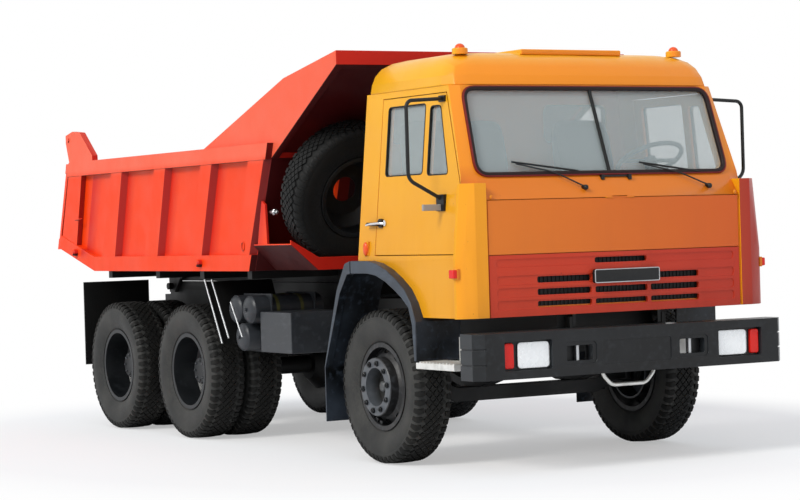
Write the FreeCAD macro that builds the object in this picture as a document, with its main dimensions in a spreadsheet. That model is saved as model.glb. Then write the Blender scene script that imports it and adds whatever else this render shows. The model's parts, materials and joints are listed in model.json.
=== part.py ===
import FreeCAD
import Part
import math
import os
import Sketcher

# A three-axle forward-control tipper lorry, in millimetres. X is the vehicle's left, minus Y is forward
# and Z is up. The origin is on the ground, in the middle of the overall length and width.

doc = FreeCAD.newDocument("Tipper")
sheet = doc.addObject("Spreadsheet::Sheet", "Sizes")
Vector = FreeCAD.Vector

# Driving dimensions. A station is a distance behind the front axle. Some heights and stations are measured
# from another one, as MEASURED_FROM says.
DIMENSIONS = {
    "Running gear": {
        "front_overhang": 1338,
        "wheelbase": 2840,
        "bogie_spacing": 1320,
        "front_track": 2026,
        "rear_track": 1856,
        "tyre_radius": 515,
        "tyre_width": 278,
        "bead_radius": 262,
        "rim_radius": 292,
        "rim_width": 214,
        "rim_wall": 12,
        "dual_spacing": 317,
        "hub_ring_radius": 195,
        "hub_radius": 110,
        "nose_length": 330,
        "boss_length": 210,
        "shaft_radius": 46,
        "seat_gap": 0.3,
        "hub_recess_radius": 128,
        "hub_recess_depth": 98,
        "hub_cap_radius": 36,
        "hub_floor": 22,
        "disc_shoulder": 75,
        "hand_hole_radius": 17,
        "hand_hole_ring": 236,
        "drum_radius": 205,
        "disc_thickness": 14,
        "front_face": 160,
        "kingpin_offset": 850,
        "spindle_radius": 40,
        "axle_tube_radius": 68,
        "steer_arm_reach": 210,
        "running_gap": 6,
        "fit_gap": 0.3,
        "kingpin_radius": 26,
        "hoist_station": 2400,
        "hoist_pivot_height": 360,
        "hoist_trunnion_radius": 24,
        "hoist_radius": 96,
        "hoist_wall": 10,
        "hoist_tail": 100,
        "hoist_base": 12,
        "hoist_shoulder": 66,
        "hoist_eye_height": 55,
        "hoist_eye_radius": 30,
        "hoist_pin_radius": 14,
    },
    "Frame": {
        "frame_top": 1060,
        "frame_height": 235,
        "frame_width": 865,
        "flange_width": 80,
        "frame_wall": 9,
        "frame_front": 1060,
        "frame_rear": 4860,
        "end_plate": 10,
        "tow_height": 942,
        "tow_hole_across": 160,
        "tow_hole_up": 100,
        "tow_hole_radius": 8.5,
        "crossmember_wall": 8,
        "crossmember_depth": 70,
        "subframe_height": 110,
        "subframe_front": 1720,
        "spring_width": 90,
        "spring_thickness": 60,
    },
    "Bumper": {
        "bumper_half": 1215,
        "bumper_low": 605,
        "bumper_high": 895,
        "bumper_return": 1140,
        "bumper_wall": 14,
        "bumper_corner": 60,
        "bumper_round": 24,
        "bumper_groove": 9,
        "bumper_panel_depth": 7,
        "lamp_recess": 38,
        "headlamp_in": 664,
        "headlamp_out": 905,
        "indicator_out": 1005,
        "lamp_gap": 26,
        "lamp_low": 666,
        "lamp_high": 834,
    },
    "Cab": {
        "cab_low": 985,
        "cab_rear": 222,
        "cab_front_centre": 1198,
        "cab_front_corner": 43,
        "cab_front_half": 150,
        "cab_side_front": 110,
        "cab_half": 1150,
        "cab_lean_start": 376,
        "gutter_height": 581,
        "gutter_half": 108,
        "cab_wall": 45,
        "hood_line": 351,
        "grille_line": 389,
        "screen_low": 159,
        "screen_low_centre": 113,
        "screen_low_corner": 50,
        "screen_high_centre": 217,
        "screen_high_corner": 18,
        "floor_height": 315,
        "roof_top": 275,
        "door_front": 25,
        "door_rear": 5,
        "door_low": 405,
        "door_gap": 6,
        "hinge_out": 16,
        "panel_gap": 5,
        "roof_hatch_height": 44,
        "screen_corner": 75,
        "window_corner": 28,
        "rear_window_in": 350,
        "rear_window_out": 900,
        "slot_low_height": 40,
        "slot_gap": 38,
        "slot_corner": 12,
        "emboss_depth": 5,
        "glass_thickness": 8,
        "tilt_pivot_station": -1095,
        "tilt_pivot_height": 930,
        "tilt_pin_radius": 18,
        "tilt_lug_in": 325,
        "tilt_lug_out": 350,
        "lid_pin_height": 2.5,
        "lid_pin_radius": 3,
        "lid_barrel_radius": 5,
    },
    "Bed": {
        "bed_half": 1250,
        "panel_half": 50,
        "bed_low": 225,
        "bed_wall": 10,
        "bed_front_low": 305,
        "bed_front_high": 989,
        "visor_start": 5,
        "visor_end": 356,
        "visor_end_low": 595,
        "visor_top": 100,
        "visor_recess": 45,
        "visor_brim": 40,
        "cheek_kink": 773,
        "cheek_kink_height": 447,
        "cheek_rear": 1328,
        "rail_low": 795,
        "rail_top": 118,
        "side_rear_top": 480,
        "tail_kink": 4465,
        "tail_tip": 221,
        "tail_rise": 185,
        "sill_height": 118,
        "rib_depth": 45,
        "rib_flank": 38,
        "tip_pivot_station": 4640,
        "tip_pivot_height": 70,
        "tip_pin_radius": 28,
        "gate_pivot_station": 10,
        "gate_pivot_height": 187,
        "gate_depth": 95,
        "gate_pin_radius": 18,
    },
    "Spare wheel": {
        "spare_station": 315,
        "spare_offset": -730,
        "spare_height": 536,
        "spare_lean": 18,
    },
}


# Each base with a direction and the sizes that are measured from it.
MEASURED_FROM = [
    ("frame_top", 1, ["bed_low", "tip_pivot_height"]),
    ("frame_top", -1, ["hoist_pivot_height"]),
    ("cab_low", 1, ["cab_lean_start", "grille_line", "floor_height", "door_low"]),
    ("grille_line", 1, ["hood_line"]),
    ("hood_line", 1, ["screen_low"]),
    ("hood_line", -1, ["lid_pin_height"]),
    ("screen_low", 1, ["gutter_height"]),
    ("gutter_height", 1, ["roof_top"]),
    ("cab_half", -1, ["cab_front_half", "gutter_half"]),
    ("cab_front_centre", -1, ["cab_front_corner", "screen_low_centre"]),
    ("cab_front_corner", -1, ["cab_side_front"]),
    ("cab_side_front", -1, ["door_front"]),
    ("screen_low_centre", -1, ["screen_low_corner", "screen_high_centre"]),
    ("screen_high_centre", -1, ["screen_high_corner"]),
    ("bed_low", 1, ["rail_low", "spare_height"]),
    ("bed_low", -1, ["hoist_eye_height"]),
    ("rail_low", 1, ["rail_top", "visor_start"]),
    ("rail_top", 1, ["cheek_kink_height", "gate_pivot_height"]),
    ("visor_start", 1, ["visor_end_low"]),
    ("visor_end_low", 1, ["visor_top"]),
    ("visor_end", 1, ["bed_front_high", "cheek_kink"]),
    ("bed_front_high", 1, ["bed_front_low"]),
    ("bed_front_high", -1, ["spare_station"]),
    ("cheek_kink", 1, ["cheek_rear"]),
    ("tail_kink", 1, ["side_rear_top"]),
    ("side_rear_top", 1, ["tail_tip"]),
    ("side_rear_top", -1, ["gate_pivot_station"]),
    ("bed_half", -1, ["panel_half"]),
]


class Length:
    """A size in millimetres together with the spreadsheet formula that gives it."""

    def __init__(self, value, formula):
        self.value = float(value)
        self.formula = formula

    def __add__(self, other):
        other = as_length(other)
        return Length(self.value + other.value, f"({self.formula} + {other.formula})")

    def __radd__(self, other):
        return as_length(other) + self

    def __sub__(self, other):
        other = as_length(other)
        return Length(self.value - other.value, f"({self.formula} - {other.formula})")

    def __rsub__(self, other):
        return as_length(other) - self

    def __mul__(self, factor):
        factor = as_length(factor)
        return Length(self.value * factor.value, f"({self.formula} * {factor.formula})")

    def __rmul__(self, factor):
        return self * factor

    def __truediv__(self, divisor):
        divisor = as_length(divisor)
        return Length(self.value / divisor.value, f"({self.formula} / {divisor.formula})")

    def __neg__(self):
        return Length(-self.value, f"(-{self.formula})")


def as_length(number):
    """Return a plain number as a Length whose formula is the number itself."""
    if isinstance(number, Length):
        return number
    return Length(number, f"({float(number):.6f})")


def root(length):
    """Return the square root of a Length."""
    return Length(math.sqrt(length.value), f"sqrt({length.formula})")


class Sizes:
    """Fill the sheet with the driving dimensions and hand each out as a Length."""

    def __init__(self, groups):
        row = 1
        for group, sizes in groups.items():
            sheet.set(f"A{row}", group)
            row += 1
            for alias, value in sizes.items():
                sheet.set(f"A{row}", alias.replace("_", " "))
                sheet.set(f"B{row}", str(value))
                sheet.setAlias(f"B{row}", alias)
                setattr(self, alias, Length(value, f"Sizes.{alias}"))
                row += 1
        for base, direction, names in MEASURED_FROM:
            for name in names:
                setattr(self, name, getattr(self, base) + direction * getattr(self, name))


size = Sizes(DIMENSIONS)
doc.recompute()

pieces = []
FRONT_Y = (size.front_overhang - size.tail_tip - size.gate_depth) / 2
REAR_AXLES = {"middle": size.wheelbase, "rear": size.wheelbase + size.bogie_spacing}


def at(station):
    """Return the Y place of a station behind the front axle."""
    return FRONT_Y + station


def bind(thing, prop, length):
    """Set a property of an object and tie it to the sheet."""
    length = as_length(length)
    thing.setExpression(prop, length.formula)


def place(thing, x=0, y=0, z=0):
    """Tie the placement of an object to the sheet."""
    for axis, length in zip("xyz", (x, y, z)):
        length = as_length(length)
        if length.value or length.formula.startswith("(S") or "Sizes" in length.formula:
            bind(thing, f"Placement.Base.{axis}", length)
    return thing


def box(name, x, y, z):
    """Make a block from its low and high limits along each axis."""
    block = doc.addObject("Part::Box", name)
    for prop, (low, high) in zip(("Length", "Width", "Height"), (x, y, z)):
        bind(block, prop, as_length(high) - low)
    return place(block, x[0], y[0], z[0])


AXIS_TURNS = {
    "X": FreeCAD.Rotation(Vector(0, 1, 0), 90),
    "Y": FreeCAD.Rotation(Vector(1, 0, 0), -90),
    "Z": FreeCAD.Rotation(),
}


def rod(name, axis, start, length, radius):
    """Make a cylinder that runs along an axis from its start point."""
    bar = doc.addObject("Part::Cylinder", name)
    bar.Placement.Rotation = AXIS_TURNS[axis]
    bind(bar, "Radius", radius)
    bind(bar, "Height", length)
    return place(bar, *start)


def fuse(label, parts):
    """Join overlapping or touching shapes into one."""
    joined = doc.addObject("Part::MultiFuse", label)
    joined.Shapes = parts
    joined.Refine = True
    joined.Label = label
    return joined


def cut(label, base, tools):
    """Take the tools out of the base shape."""
    tool = tools[0] if len(tools) == 1 else fuse(label + "_tools", tools)
    result = doc.addObject("Part::Cut", label)
    result.Base = base
    result.Tool = tool
    result.Refine = True
    result.Label = label
    return result


def common(label, first, second):
    """Keep what two shapes share."""
    result = doc.addObject("Part::Common", label)
    result.Base = first
    result.Tool = second
    result.Refine = True
    result.Label = label
    return result


def mirror(label, source):
    """Mirror a shape to the other side of the vehicle."""
    result = doc.addObject("Part::Mirroring", label)
    result.Source = source
    result.Base = Vector(0, 0, 0)
    result.Normal = Vector(1, 0, 0)
    result.Label = label
    return result


def group(label, parts):
    """Keep separate solids together as one piece."""
    result = doc.addObject("Part::Compound", label)
    result.Links = parts
    result.Label = label
    return result


def rounded(label, base, axis, radius, near=None):
    """Round the straight edges of a shape that run along an axis, or those of them that near accepts."""
    doc.recompute()
    direction = {"X": Vector(1, 0, 0), "Y": Vector(0, 1, 0), "Z": Vector(0, 0, 1)}[axis]
    chosen = []
    for number, edge in enumerate(base.Shape.Edges, 1):
        if not isinstance(edge.Curve, (Part.Line, Part.LineSegment)):
            continue
        run = edge.Vertexes[-1].Point - edge.Vertexes[0].Point
        if run.Length and abs(run.normalize().dot(direction)) > 0.999 and (near is None or near(edge.CenterOfMass)):
            chosen.append((number, as_length(radius).value, as_length(radius).value))
    result = doc.addObject("Part::Fillet", label)
    result.Base = base
    result.Edges = chosen
    result.Label = label
    return result


def both_sides(label, source):
    """Make one piece of a shape and its mirror image."""
    return group(label, [source, mirror(label + "_mirror", source)])


def keep(thing, label=None):
    """Count an object among the pieces that are written out."""
    if label:
        thing.Label = label
    pieces.append(thing)
    return thing


def plane_of(body, role):
    """Find an origin plane or axis of a body by its role."""
    return next(item for item in body.Origin.OriginFeatures if item.Role == role)


def draw_corners(sketch, points):
    """Draw a closed outline of straight edges whose corners are tied to the sheet."""
    corners = [(as_length(a), as_length(b)) for a, b in points]
    spots = [Vector(a.value, b.value, 0) for a, b in corners]
    for start, end in zip(spots, spots[1:] + spots[:1]):
        sketch.addGeometry(Part.LineSegment(start, end), False)
    count = len(corners)
    for index in range(count):
        sketch.addConstraint(Sketcher.Constraint("Coincident", index, 2, (index + 1) % count, 1))
    for index, (across, up) in enumerate(corners):
        for kind, length in (("DistanceX", across), ("DistanceY", up)):
            number = sketch.addConstraint(Sketcher.Constraint(kind, -1, 1, index, 1, length.value))
            sketch.setExpression(f"Constraints[{number}]", length.formula)


def draw(body, name, role, points):
    """Draw an outline on an origin plane of a body."""
    sketch = body.newObject("Sketcher::SketchObject", name)
    sketch.AttachmentSupport = [(plane_of(body, role), "")]
    sketch.MapMode = "FlatFace"
    draw_corners(sketch, points)
    return sketch


def extrude(name, role, points, start, depth):
    """Pad an outline drawn on an origin plane, from a start place along the positive axis."""
    body = doc.addObject("PartDesign::Body", name)
    sketch = draw(body, name + "_outline", role, points)
    pad = body.newObject("PartDesign::Pad", name + "_pad")
    pad.Profile = sketch
    bind(pad, "Length", depth)
    pad.Reversed = role == "XZ_Plane"
    axis = {"YZ_Plane": "x", "XZ_Plane": "y", "XY_Plane": "z"}[role]
    bind(body, f"Placement.Base.{axis}", start)
    return body


def side_plate(name, points, x):
    """Extrude a side-view outline of stations and heights between two X limits."""
    outline = [(at(station), height) for station, height in points]
    return extrude(name, "YZ_Plane", outline, x[0], as_length(x[1]) - x[0])


def front_plate(name, points, y):
    """Extrude a front-view outline of X and Z between two Y limits."""
    return extrude(name, "XZ_Plane", points, y[0], as_length(y[1]) - y[0])


def plan_plate(name, points, z):
    """Extrude a plan-view outline of X and station between two heights."""
    outline = [(x, at(station)) for x, station in points]
    return extrude(name, "XY_Plane", outline, z[0], as_length(z[1]) - z[0])


def tapered_plate(name, foot, top, x):
    """Loft a side-view outline of stations and heights at one X place to another outline at a second one."""
    outlines = []
    for number, (points, place_x) in enumerate(((foot, x[0]), (top, x[1]))):
        sketch = doc.addObject("Sketcher::SketchObject", f"{name}_end{number}")
        draw_corners(sketch, [(at(station), height) for station, height in points])
        sketch.Placement.Rotation = FreeCAD.Rotation(0.5, 0.5, 0.5, 0.5)
        bind(sketch, "Placement.Base.x", place_x)
        outlines.append(sketch)
    form = doc.addObject("Part::Loft", name)
    form.Sections = outlines
    form.Solid = True
    form.Ruled = True
    return form


def tube(name, points, radius, reach):
    """Sweep a round tube along straight runs joined by arcs that start at a reach before each corner."""
    spots = [Vector(*[as_length(part).value for part in point]) for point in points]
    edges = []
    start = spots[0]
    for before, corner, after in zip(spots, spots[1:], spots[2:]):
        run_in = (before - corner).normalize()
        run_out = (after - corner).normalize()
        arc_start = corner + run_in * reach
        arc_end = corner + run_out * reach
        turn = math.pi - run_in.getAngle(run_out)
        bend = reach / math.tan(turn / 2)
        centre = corner + (run_in + run_out).normalize() * math.hypot(reach, bend)
        apex = centre + (corner - centre).normalize() * bend
        edges.append(Part.LineSegment(start, arc_start).toShape())
        edges.append(Part.Arc(arc_start, apex, arc_end).toShape())
        start = arc_end
    edges.append(Part.LineSegment(start, spots[-1]).toShape())
    ring = Part.Wire(Part.Circle(spots[0], spots[1] - spots[0], radius).toShape())
    thing = doc.addObject("Part::Feature", name)
    thing.Shape = Part.Wire(edges).makePipeShell([ring], True, False)
    return thing


def turned(name, profile, centre):
    """Revolve a profile of (place along X, radius) about an axis along X through the centre."""
    body = doc.addObject("PartDesign::Body", name)
    sketch = draw(body, name + "_profile", "XY_Plane", profile)
    ring = body.newObject("PartDesign::Revolution", name + "_ring")
    ring.Profile = sketch
    ring.ReferenceAxis = (sketch, ["H_Axis"])
    ring.Angle = 360
    return place(body, *centre)


def loft(name, sections):
    """Join closed plan-view sections, given as a height and its corners, with ruled faces."""
    outlines = []
    for number, (height, corners) in enumerate(sections):
        sketch = doc.addObject("Sketcher::SketchObject", f"{name}_section{number}")
        draw_corners(sketch, [(x, at(station)) for x, station in corners])
        bind(sketch, "Placement.Base.z", height)
        outlines.append(sketch)
    skin = doc.addObject("Part::Loft", name)
    skin.Sections = outlines
    skin.Solid = True
    skin.Ruled = True
    return skin


# Wheels
TYRE_HALF = size.tyre_width / 2
RIM_HALF = size.rim_width / 2
AXLE_HEIGHT = size.tyre_radius


def tyre_profile(middle):
    """Return a tyre's section as places along the axle and radii."""
    tread = TYRE_HALF - 24
    outer = size.tyre_radius
    seat = size.bead_radius + size.rim_wall + size.fit_gap
    bead = RIM_HALF - size.rim_wall - size.fit_gap
    return [
        (middle - bead, seat),
        (middle - bead, size.rim_radius + 3),
        (middle - TYRE_HALF, outer - 110),
        (middle - TYRE_HALF + 4, outer - 26),
        (middle - tread, outer),
        (middle + tread, outer),
        (middle + TYRE_HALF - 4, outer - 26),
        (middle + TYRE_HALF, outer - 110),
        (middle + bead, size.rim_radius + 3),
        (middle + bead, seat),
    ]


def barrel_profile(middle):
    """Return a rim barrel's section, a band with a flange at each edge."""
    low = size.bead_radius
    wall = size.rim_wall
    return [
        (middle - RIM_HALF, low),
        (middle + RIM_HALF, low),
        (middle + RIM_HALF, size.rim_radius),
        (middle + RIM_HALF - wall, size.rim_radius),
        (middle + RIM_HALF - wall, low + wall),
        (middle - RIM_HALF + wall, low + wall),
        (middle - RIM_HALF + wall, size.rim_radius),
        (middle - RIM_HALF, size.rim_radius),
    ]


def disc_profile(start, face, lean):
    """Return a dished disc's section, from the barrel at start to the hub ring at face."""
    inner = size.disc_thickness * lean
    bore = size.hub_radius - 20
    return [
        (start, size.bead_radius + 4),
        (face, size.hub_ring_radius),
        (face, bore),
        (face - inner, bore),
        (face - inner, size.hub_ring_radius - 6),
        (start - inner, size.bead_radius + 4),
    ]


def make_tyre(name, middle, centre):
    """Make one tyre as a full ring on its rim."""
    return turned(name, tyre_profile(middle), centre)


HAND_HOLES = 10


def make_front_wheel():
    """Make the left front tyre and its rim with hub and drum, and mirror both."""
    middle = size.front_track / 2
    centre = (0, FRONT_Y, AXLE_HEIGHT)
    tyre = make_tyre("front_tyre_left", middle, centre)
    face = middle + size.front_face
    bore = size.spindle_radius + size.fit_gap
    hub_in = size.kingpin_offset + 75
    floor = face - size.hub_recess_depth
    recess = size.hub_recess_radius
    skin = size.disc_thickness
    hub = [
        (hub_in, bore),
        (hub_in, size.hub_radius),
        (floor - skin, size.hub_radius),
        (floor - skin, recess + 8),
        (face - skin, recess + 16),
        (face - skin, recess),
        (floor, recess - 8),
        (floor, size.hub_cap_radius + 14),
        (floor + 10, size.hub_cap_radius + 2),
        (floor + 44, size.hub_cap_radius),
        (floor + 52, size.hub_cap_radius - 10),
        (floor + 52, 0),
        (floor - size.hub_floor, 0),
        (floor - size.hub_floor, bore),
    ]
    shoulder = face - size.disc_shoulder
    ring = size.hub_ring_radius
    barrel_end = middle + 45
    disc = [
        (barrel_end, size.bead_radius + 4),
        (shoulder, ring + 14),
        (shoulder + 12, ring + 4),
        (face - 6, ring),
        (face, ring - 6),
        (face, recess),
        (face - skin, recess),
        (face - skin, ring - skin),
        (shoulder - 4, ring - skin + 4),
        (barrel_end - skin, size.bead_radius + 4),
    ]
    holes = []
    for number in range(HAND_HOLES):
        for step in (-1, 0, 1):
            angle = 2 * math.pi * number / HAND_HOLES + step * 0.058
            holes.append(rod(f"hand_hole_{number}_{step + 1}", "X", (
                barrel_end - 40, FRONT_Y + size.hand_hole_ring * math.sin(angle),
                AXLE_HEIGHT + size.hand_hole_ring * math.cos(angle)), 110, size.hand_hole_radius))
    drum_in = hub_in - 30
    drum = [
        (drum_in, size.drum_radius - 14),
        (drum_in, size.drum_radius),
        (middle + 30, size.drum_radius),
        (middle + 30, size.hub_radius - 5),
        (middle + 16, size.hub_radius - 5),
        (middle + 16, size.drum_radius - 14),
    ]
    rim = fuse("front_rim_left", [
        turned("front_barrel", barrel_profile(middle), centre),
        cut("front_disc_holed", turned("front_disc", disc, centre), holes),
        turned("front_hub", hub, centre),
        turned("front_drum", drum, centre),
    ])
    for part in (tyre, rim):
        keep(part)
        keep(mirror(part.Label.replace("left", "right"), part))


def make_rear_wheels():
    """Make the twin tyres and joined rims of each rear axle, left and right."""
    middle = size.rear_track / 2
    outer = middle + size.dual_spacing / 2
    inner = middle - size.dual_spacing / 2
    for axle, station in REAR_AXLES.items():
        centre = (0, at(station), AXLE_HEIGHT)
        tyres = group(f"{axle}_tyres_left", [
            make_tyre(f"{axle}_outer_tyre", outer, centre),
            make_tyre(f"{axle}_inner_tyre", inner, centre),
        ])
        bore = size.axle_tube_radius + size.fit_gap
        hub = [
            (inner + 30, bore),
            (inner + 30, size.hub_radius + 12),
            (outer - 30, size.hub_radius),
            (outer + 10, size.hub_radius - 12),
            (outer + 10, 0),
            (outer - 40, 0),
            (outer - 40, bore),
        ]
        drum_in = inner - 90
        drum = [
            (drum_in, size.drum_radius - 14),
            (drum_in, size.drum_radius),
            (inner + 70, size.drum_radius),
            (inner + 70, size.hub_radius - 5),
            (inner + 56, size.hub_radius - 5),
            (inner + 56, size.drum_radius - 14),
        ]
        rims = fuse(f"{axle}_rims_left", [
            turned(f"{axle}_outer_barrel", barrel_profile(outer), centre),
            turned(f"{axle}_inner_barrel", barrel_profile(inner), centre),
            turned(f"{axle}_outer_disc", disc_profile(outer - RIM_HALF + 10, middle + 1, -1), centre),
            turned(f"{axle}_inner_disc", disc_profile(inner + RIM_HALF - 10, middle + 1, 1), centre),
            turned(f"{axle}_hub", hub, centre),
            turned(f"{axle}_drum", drum, centre),
        ])
        for part in (tyres, rims):
            keep(part)
            keep(mirror(part.Label.replace("left", "right"), part))


# Axles and steering
def make_front_axle():
    """Make the dropped front beam, the knuckles with their spindles and the tie rod."""
    offset = size.kingpin_offset
    half = 55
    eye = 48
    low = AXLE_HEIGHT - 62
    high = AXLE_HEIGHT + 62
    beam = front_plate("front_beam_web", [
        (-(offset - 20), low + 8), (110 - offset, low + 5), (260 - offset, AXLE_HEIGHT - 135),
        (offset - 260, AXLE_HEIGHT - 135), (offset - 110, low + 5), (offset - 20, low + 8),
        (offset - 20, high - 8), (560, AXLE_HEIGHT - 40), (-560, AXLE_HEIGHT - 40), (-(offset - 20), high - 8),
    ], (FRONT_Y - half, FRONT_Y + half))
    eyes = [rod(f"beam_eye_{side}", "Z", (side_sign * offset, FRONT_Y, low), high - low, eye)
            for side, side_sign in (("left", 1), ("right", -1))]
    bores = [rod(f"beam_bore_{side}", "Z", (side_sign * offset, FRONT_Y, low - 10), high - low + 20,
                 size.kingpin_radius + size.fit_gap)
             for side, side_sign in (("left", 1), ("right", -1))]
    keep(cut("front_axle_beam", fuse("front_axle_solid", [beam] + eyes), bores))

    gap = size.running_gap
    fork = 26
    plate_x = offset + eye + gap
    knuckle = fuse("knuckle_left", [
        rod("kingpin", "Z", (offset, FRONT_Y, low - gap - fork), high - low + 2 * gap + 2 * fork,
            size.kingpin_radius),
        box("fork_top", (offset - 42, plate_x + 20), (FRONT_Y - 46, FRONT_Y + 46), (high + gap, high + gap + fork)),
        box("fork_low", (offset - 42, plate_x + 20), (FRONT_Y - 46, FRONT_Y + 46), (low - gap - fork, low - gap)),
        box("fork_back", (plate_x, plate_x + 20), (FRONT_Y - 60, FRONT_Y + 60),
            (low - gap - fork, high + gap + fork)),
        rod("spindle", "X", (plate_x, FRONT_Y, AXLE_HEIGHT), 
            size.front_track / 2 + size.front_face - size.hub_recess_depth - size.hub_floor - 10 - plate_x,
            size.spindle_radius),
        plan_plate("steer_arm", [
            (offset + 40, 30), (offset - 30, 30), (offset - 72, size.steer_arm_reach + 24),
            (offset - 22, size.steer_arm_reach + 24)],
            (low - gap - fork, low - gap)),
    ])
    keep(knuckle)
    keep(mirror("knuckle_right", knuckle))

    eye_half = 24
    rod_height = low - gap - fork - eye_half - size.fit_gap
    arm_x = offset - 47
    tie = fuse("tie_rod", [
        rod("tie_tube", "X", (-arm_x - 20, at(size.steer_arm_reach), rod_height), 2 * arm_x + 40, 18),
        rod("tie_eye_left", "Z", (arm_x, at(size.steer_arm_reach), rod_height - eye_half), 2 * eye_half, 30),
        rod("tie_eye_right", "Z", (-arm_x, at(size.steer_arm_reach), rod_height - eye_half), 2 * eye_half, 30),
    ])
    keep(tie)


def make_driveline():
    """Make the engine block with its gearbox, the two driven axle housings and the shafts that join them."""
    tube_end = size.rear_track / 2 + size.dual_spacing / 2 - 52
    housings = []
    for axle, station in REAR_AXLES.items():
        case = turned(f"{axle}_case", [
            (-150, 0), (-150, 120), (-70, 195), (70, 195), (150, 120), (150, 0),
        ], (0, at(station), AXLE_HEIGHT))
        nose = rod(f"{axle}_nose", "Y", (0, at(station - size.nose_length), AXLE_HEIGHT), size.nose_length, 95)
        tube = rod(f"{axle}_tube", "X", (-tube_end, at(station), AXLE_HEIGHT), 2 * tube_end, size.axle_tube_radius)
        boss = rod(f"{axle}_boss", "Y", (0, at(station), AXLE_HEIGHT), size.boss_length, size.shaft_radius + 14)
        housings.append(fuse(f"{axle}_housing", [case, nose, tube, boss]))
    keep(group("drive_axles", housings))
    engine = fuse("engine", [
        box("engine_block", (-280, 280), (at(-560), at(640)), (700, 1240)),
        rod("gearbox", "Y", (0, at(600), 760), 420, 60),
        box("gearbox_drop", (-70, 70), (at(960), at(1040)), (AXLE_HEIGHT - 50, 830)),
    ])
    seat = size.seat_gap
    shaft = rod("propshaft", "Y", (0, at(1040) + seat, AXLE_HEIGHT), size.wheelbase - size.nose_length - 1040 - seat * 2,
                size.shaft_radius)
    link_start = size.wheelbase + size.boss_length + seat
    link = rod("bogie_shaft", "Y", (0, at(link_start), AXLE_HEIGHT),
               size.wheelbase + size.bogie_spacing - size.nose_length - seat - link_start, size.shaft_radius)
    keep(group("driveline", [engine, shaft, link]))


# Frame
FRAME_HALF = size.frame_width / 2
FRAME_LOW = size.frame_top - size.frame_height
SUBFRAME_TOP = size.frame_top + size.subframe_height


def channel(name, outer, inner_turn, y, low, high):
    """Make a channel section whose web is at outer and whose flanges turn inwards."""
    wall = size.frame_wall * inner_turn
    tip = outer + size.flange_width * inner_turn
    return front_plate(name, [
        (outer, low), (tip, low), (tip, low + size.frame_wall), (outer + wall, low + size.frame_wall),
        (outer + wall, high - size.frame_wall), (tip, high - size.frame_wall), (tip, high), (outer, high),
    ], y)


def crossmember(name, station, turn):
    """Make a channel across the frame whose web stands at a station and whose flanges turn to one end."""
    inner = FRAME_HALF - size.frame_wall
    low = FRAME_LOW + 25
    high = size.frame_top - 25
    wall = size.crossmember_wall
    tip = as_length(station) + size.crossmember_depth * turn
    web = as_length(station) + wall * turn
    return side_plate(name, [
        (station, low), (tip, low), (tip, low + wall), (web, low + wall), (web, high - wall), (tip, high - wall),
        (tip, high), (station, high)], (-inner, inner))


def make_frame():
    """Make the ladder frame: two channels with their brackets and the crossmembers between them."""
    front = -size.frame_front
    rail = channel("rail_left", FRAME_HALF, -1, (at(front), at(size.frame_rear)), FRAME_LOW, size.frame_top)
    plates = [
        box("frame_end", (FRAME_HALF - size.flange_width, FRAME_HALF), (at(front - size.end_plate), at(front)),
            (FRAME_LOW, size.frame_top)),
        box("tilt_bracket", (size.tilt_lug_out + 5, size.tilt_lug_out + 27),
            (at(size.tilt_pivot_station - 35), at(front - 5)),
            (size.tilt_pivot_height - 35, size.tilt_pivot_height + 35)),
        rod("tilt_pin", "X", (size.tilt_lug_in - 10, at(size.tilt_pivot_station), size.tilt_pivot_height),
            size.tilt_lug_out - size.tilt_lug_in + 30, size.tilt_pin_radius - size.fit_gap),
        box("cab_rest", (FRAME_HALF - 85, FRAME_HALF - 5), (at(60), at(140)),
            (size.frame_top, size.floor_height - 30 - size.fit_gap)),
        box("hoist_hanger", (FRAME_HALF - 70, FRAME_HALF - 50),
            (at(size.hoist_station - 55), at(size.hoist_station + 55)),
            (size.hoist_pivot_height - 45, FRAME_LOW + 1)),
    ]
    bearing = rod("hoist_bearing", "X", (FRAME_HALF - 100, at(size.hoist_station), size.hoist_pivot_height), 100,
                  size.hoist_trunnion_radius + size.fit_gap)
    keep(both_sides("frame", cut("frame_side", fuse("frame_side_solid", [rail] + plates), [bearing])))

    crosses = [crossmember(f"crossmember_{number}", station, 1)
               for number, station in enumerate((-960, 1080, 2150, 3500))]
    holes = []
    for x in (-size.tow_hole_across, size.tow_hole_across):
        for z in (-size.tow_hole_up, size.tow_hole_up):
            holes.append(rod(f"tow_hole{len(holes)}", "Y", (x / 2, at(size.frame_rear - 100), size.tow_height + z / 2),
                             100, size.tow_hole_radius))
    tow = cut("tow_member", crossmember("tow_channel", size.frame_rear - 70, -1), holes)
    keep(group("crossmembers", crosses + [tow]))

    y = (at(size.subframe_front), at(size.frame_rear - 110))
    beams = [box("subframe_left", (FRAME_HALF - 80, FRAME_HALF), y, (size.frame_top, SUBFRAME_TOP)),
             box("subframe_right", (-FRAME_HALF, 80 - FRAME_HALF), y, (size.frame_top, SUBFRAME_TOP))]
    cross = box("subframe_cross", (80 - FRAME_HALF, FRAME_HALF - 80), (at(2140), at(2220)), (size.frame_top, SUBFRAME_TOP))
    pin = rod("tip_pin", "X", (-(FRAME_HALF + 75), at(size.tip_pivot_station), size.tip_pivot_height),
              2 * (FRAME_HALF + 75), size.tip_pin_radius)
    keep(fuse("tipper_subframe", beams + [cross, pin]))


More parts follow.
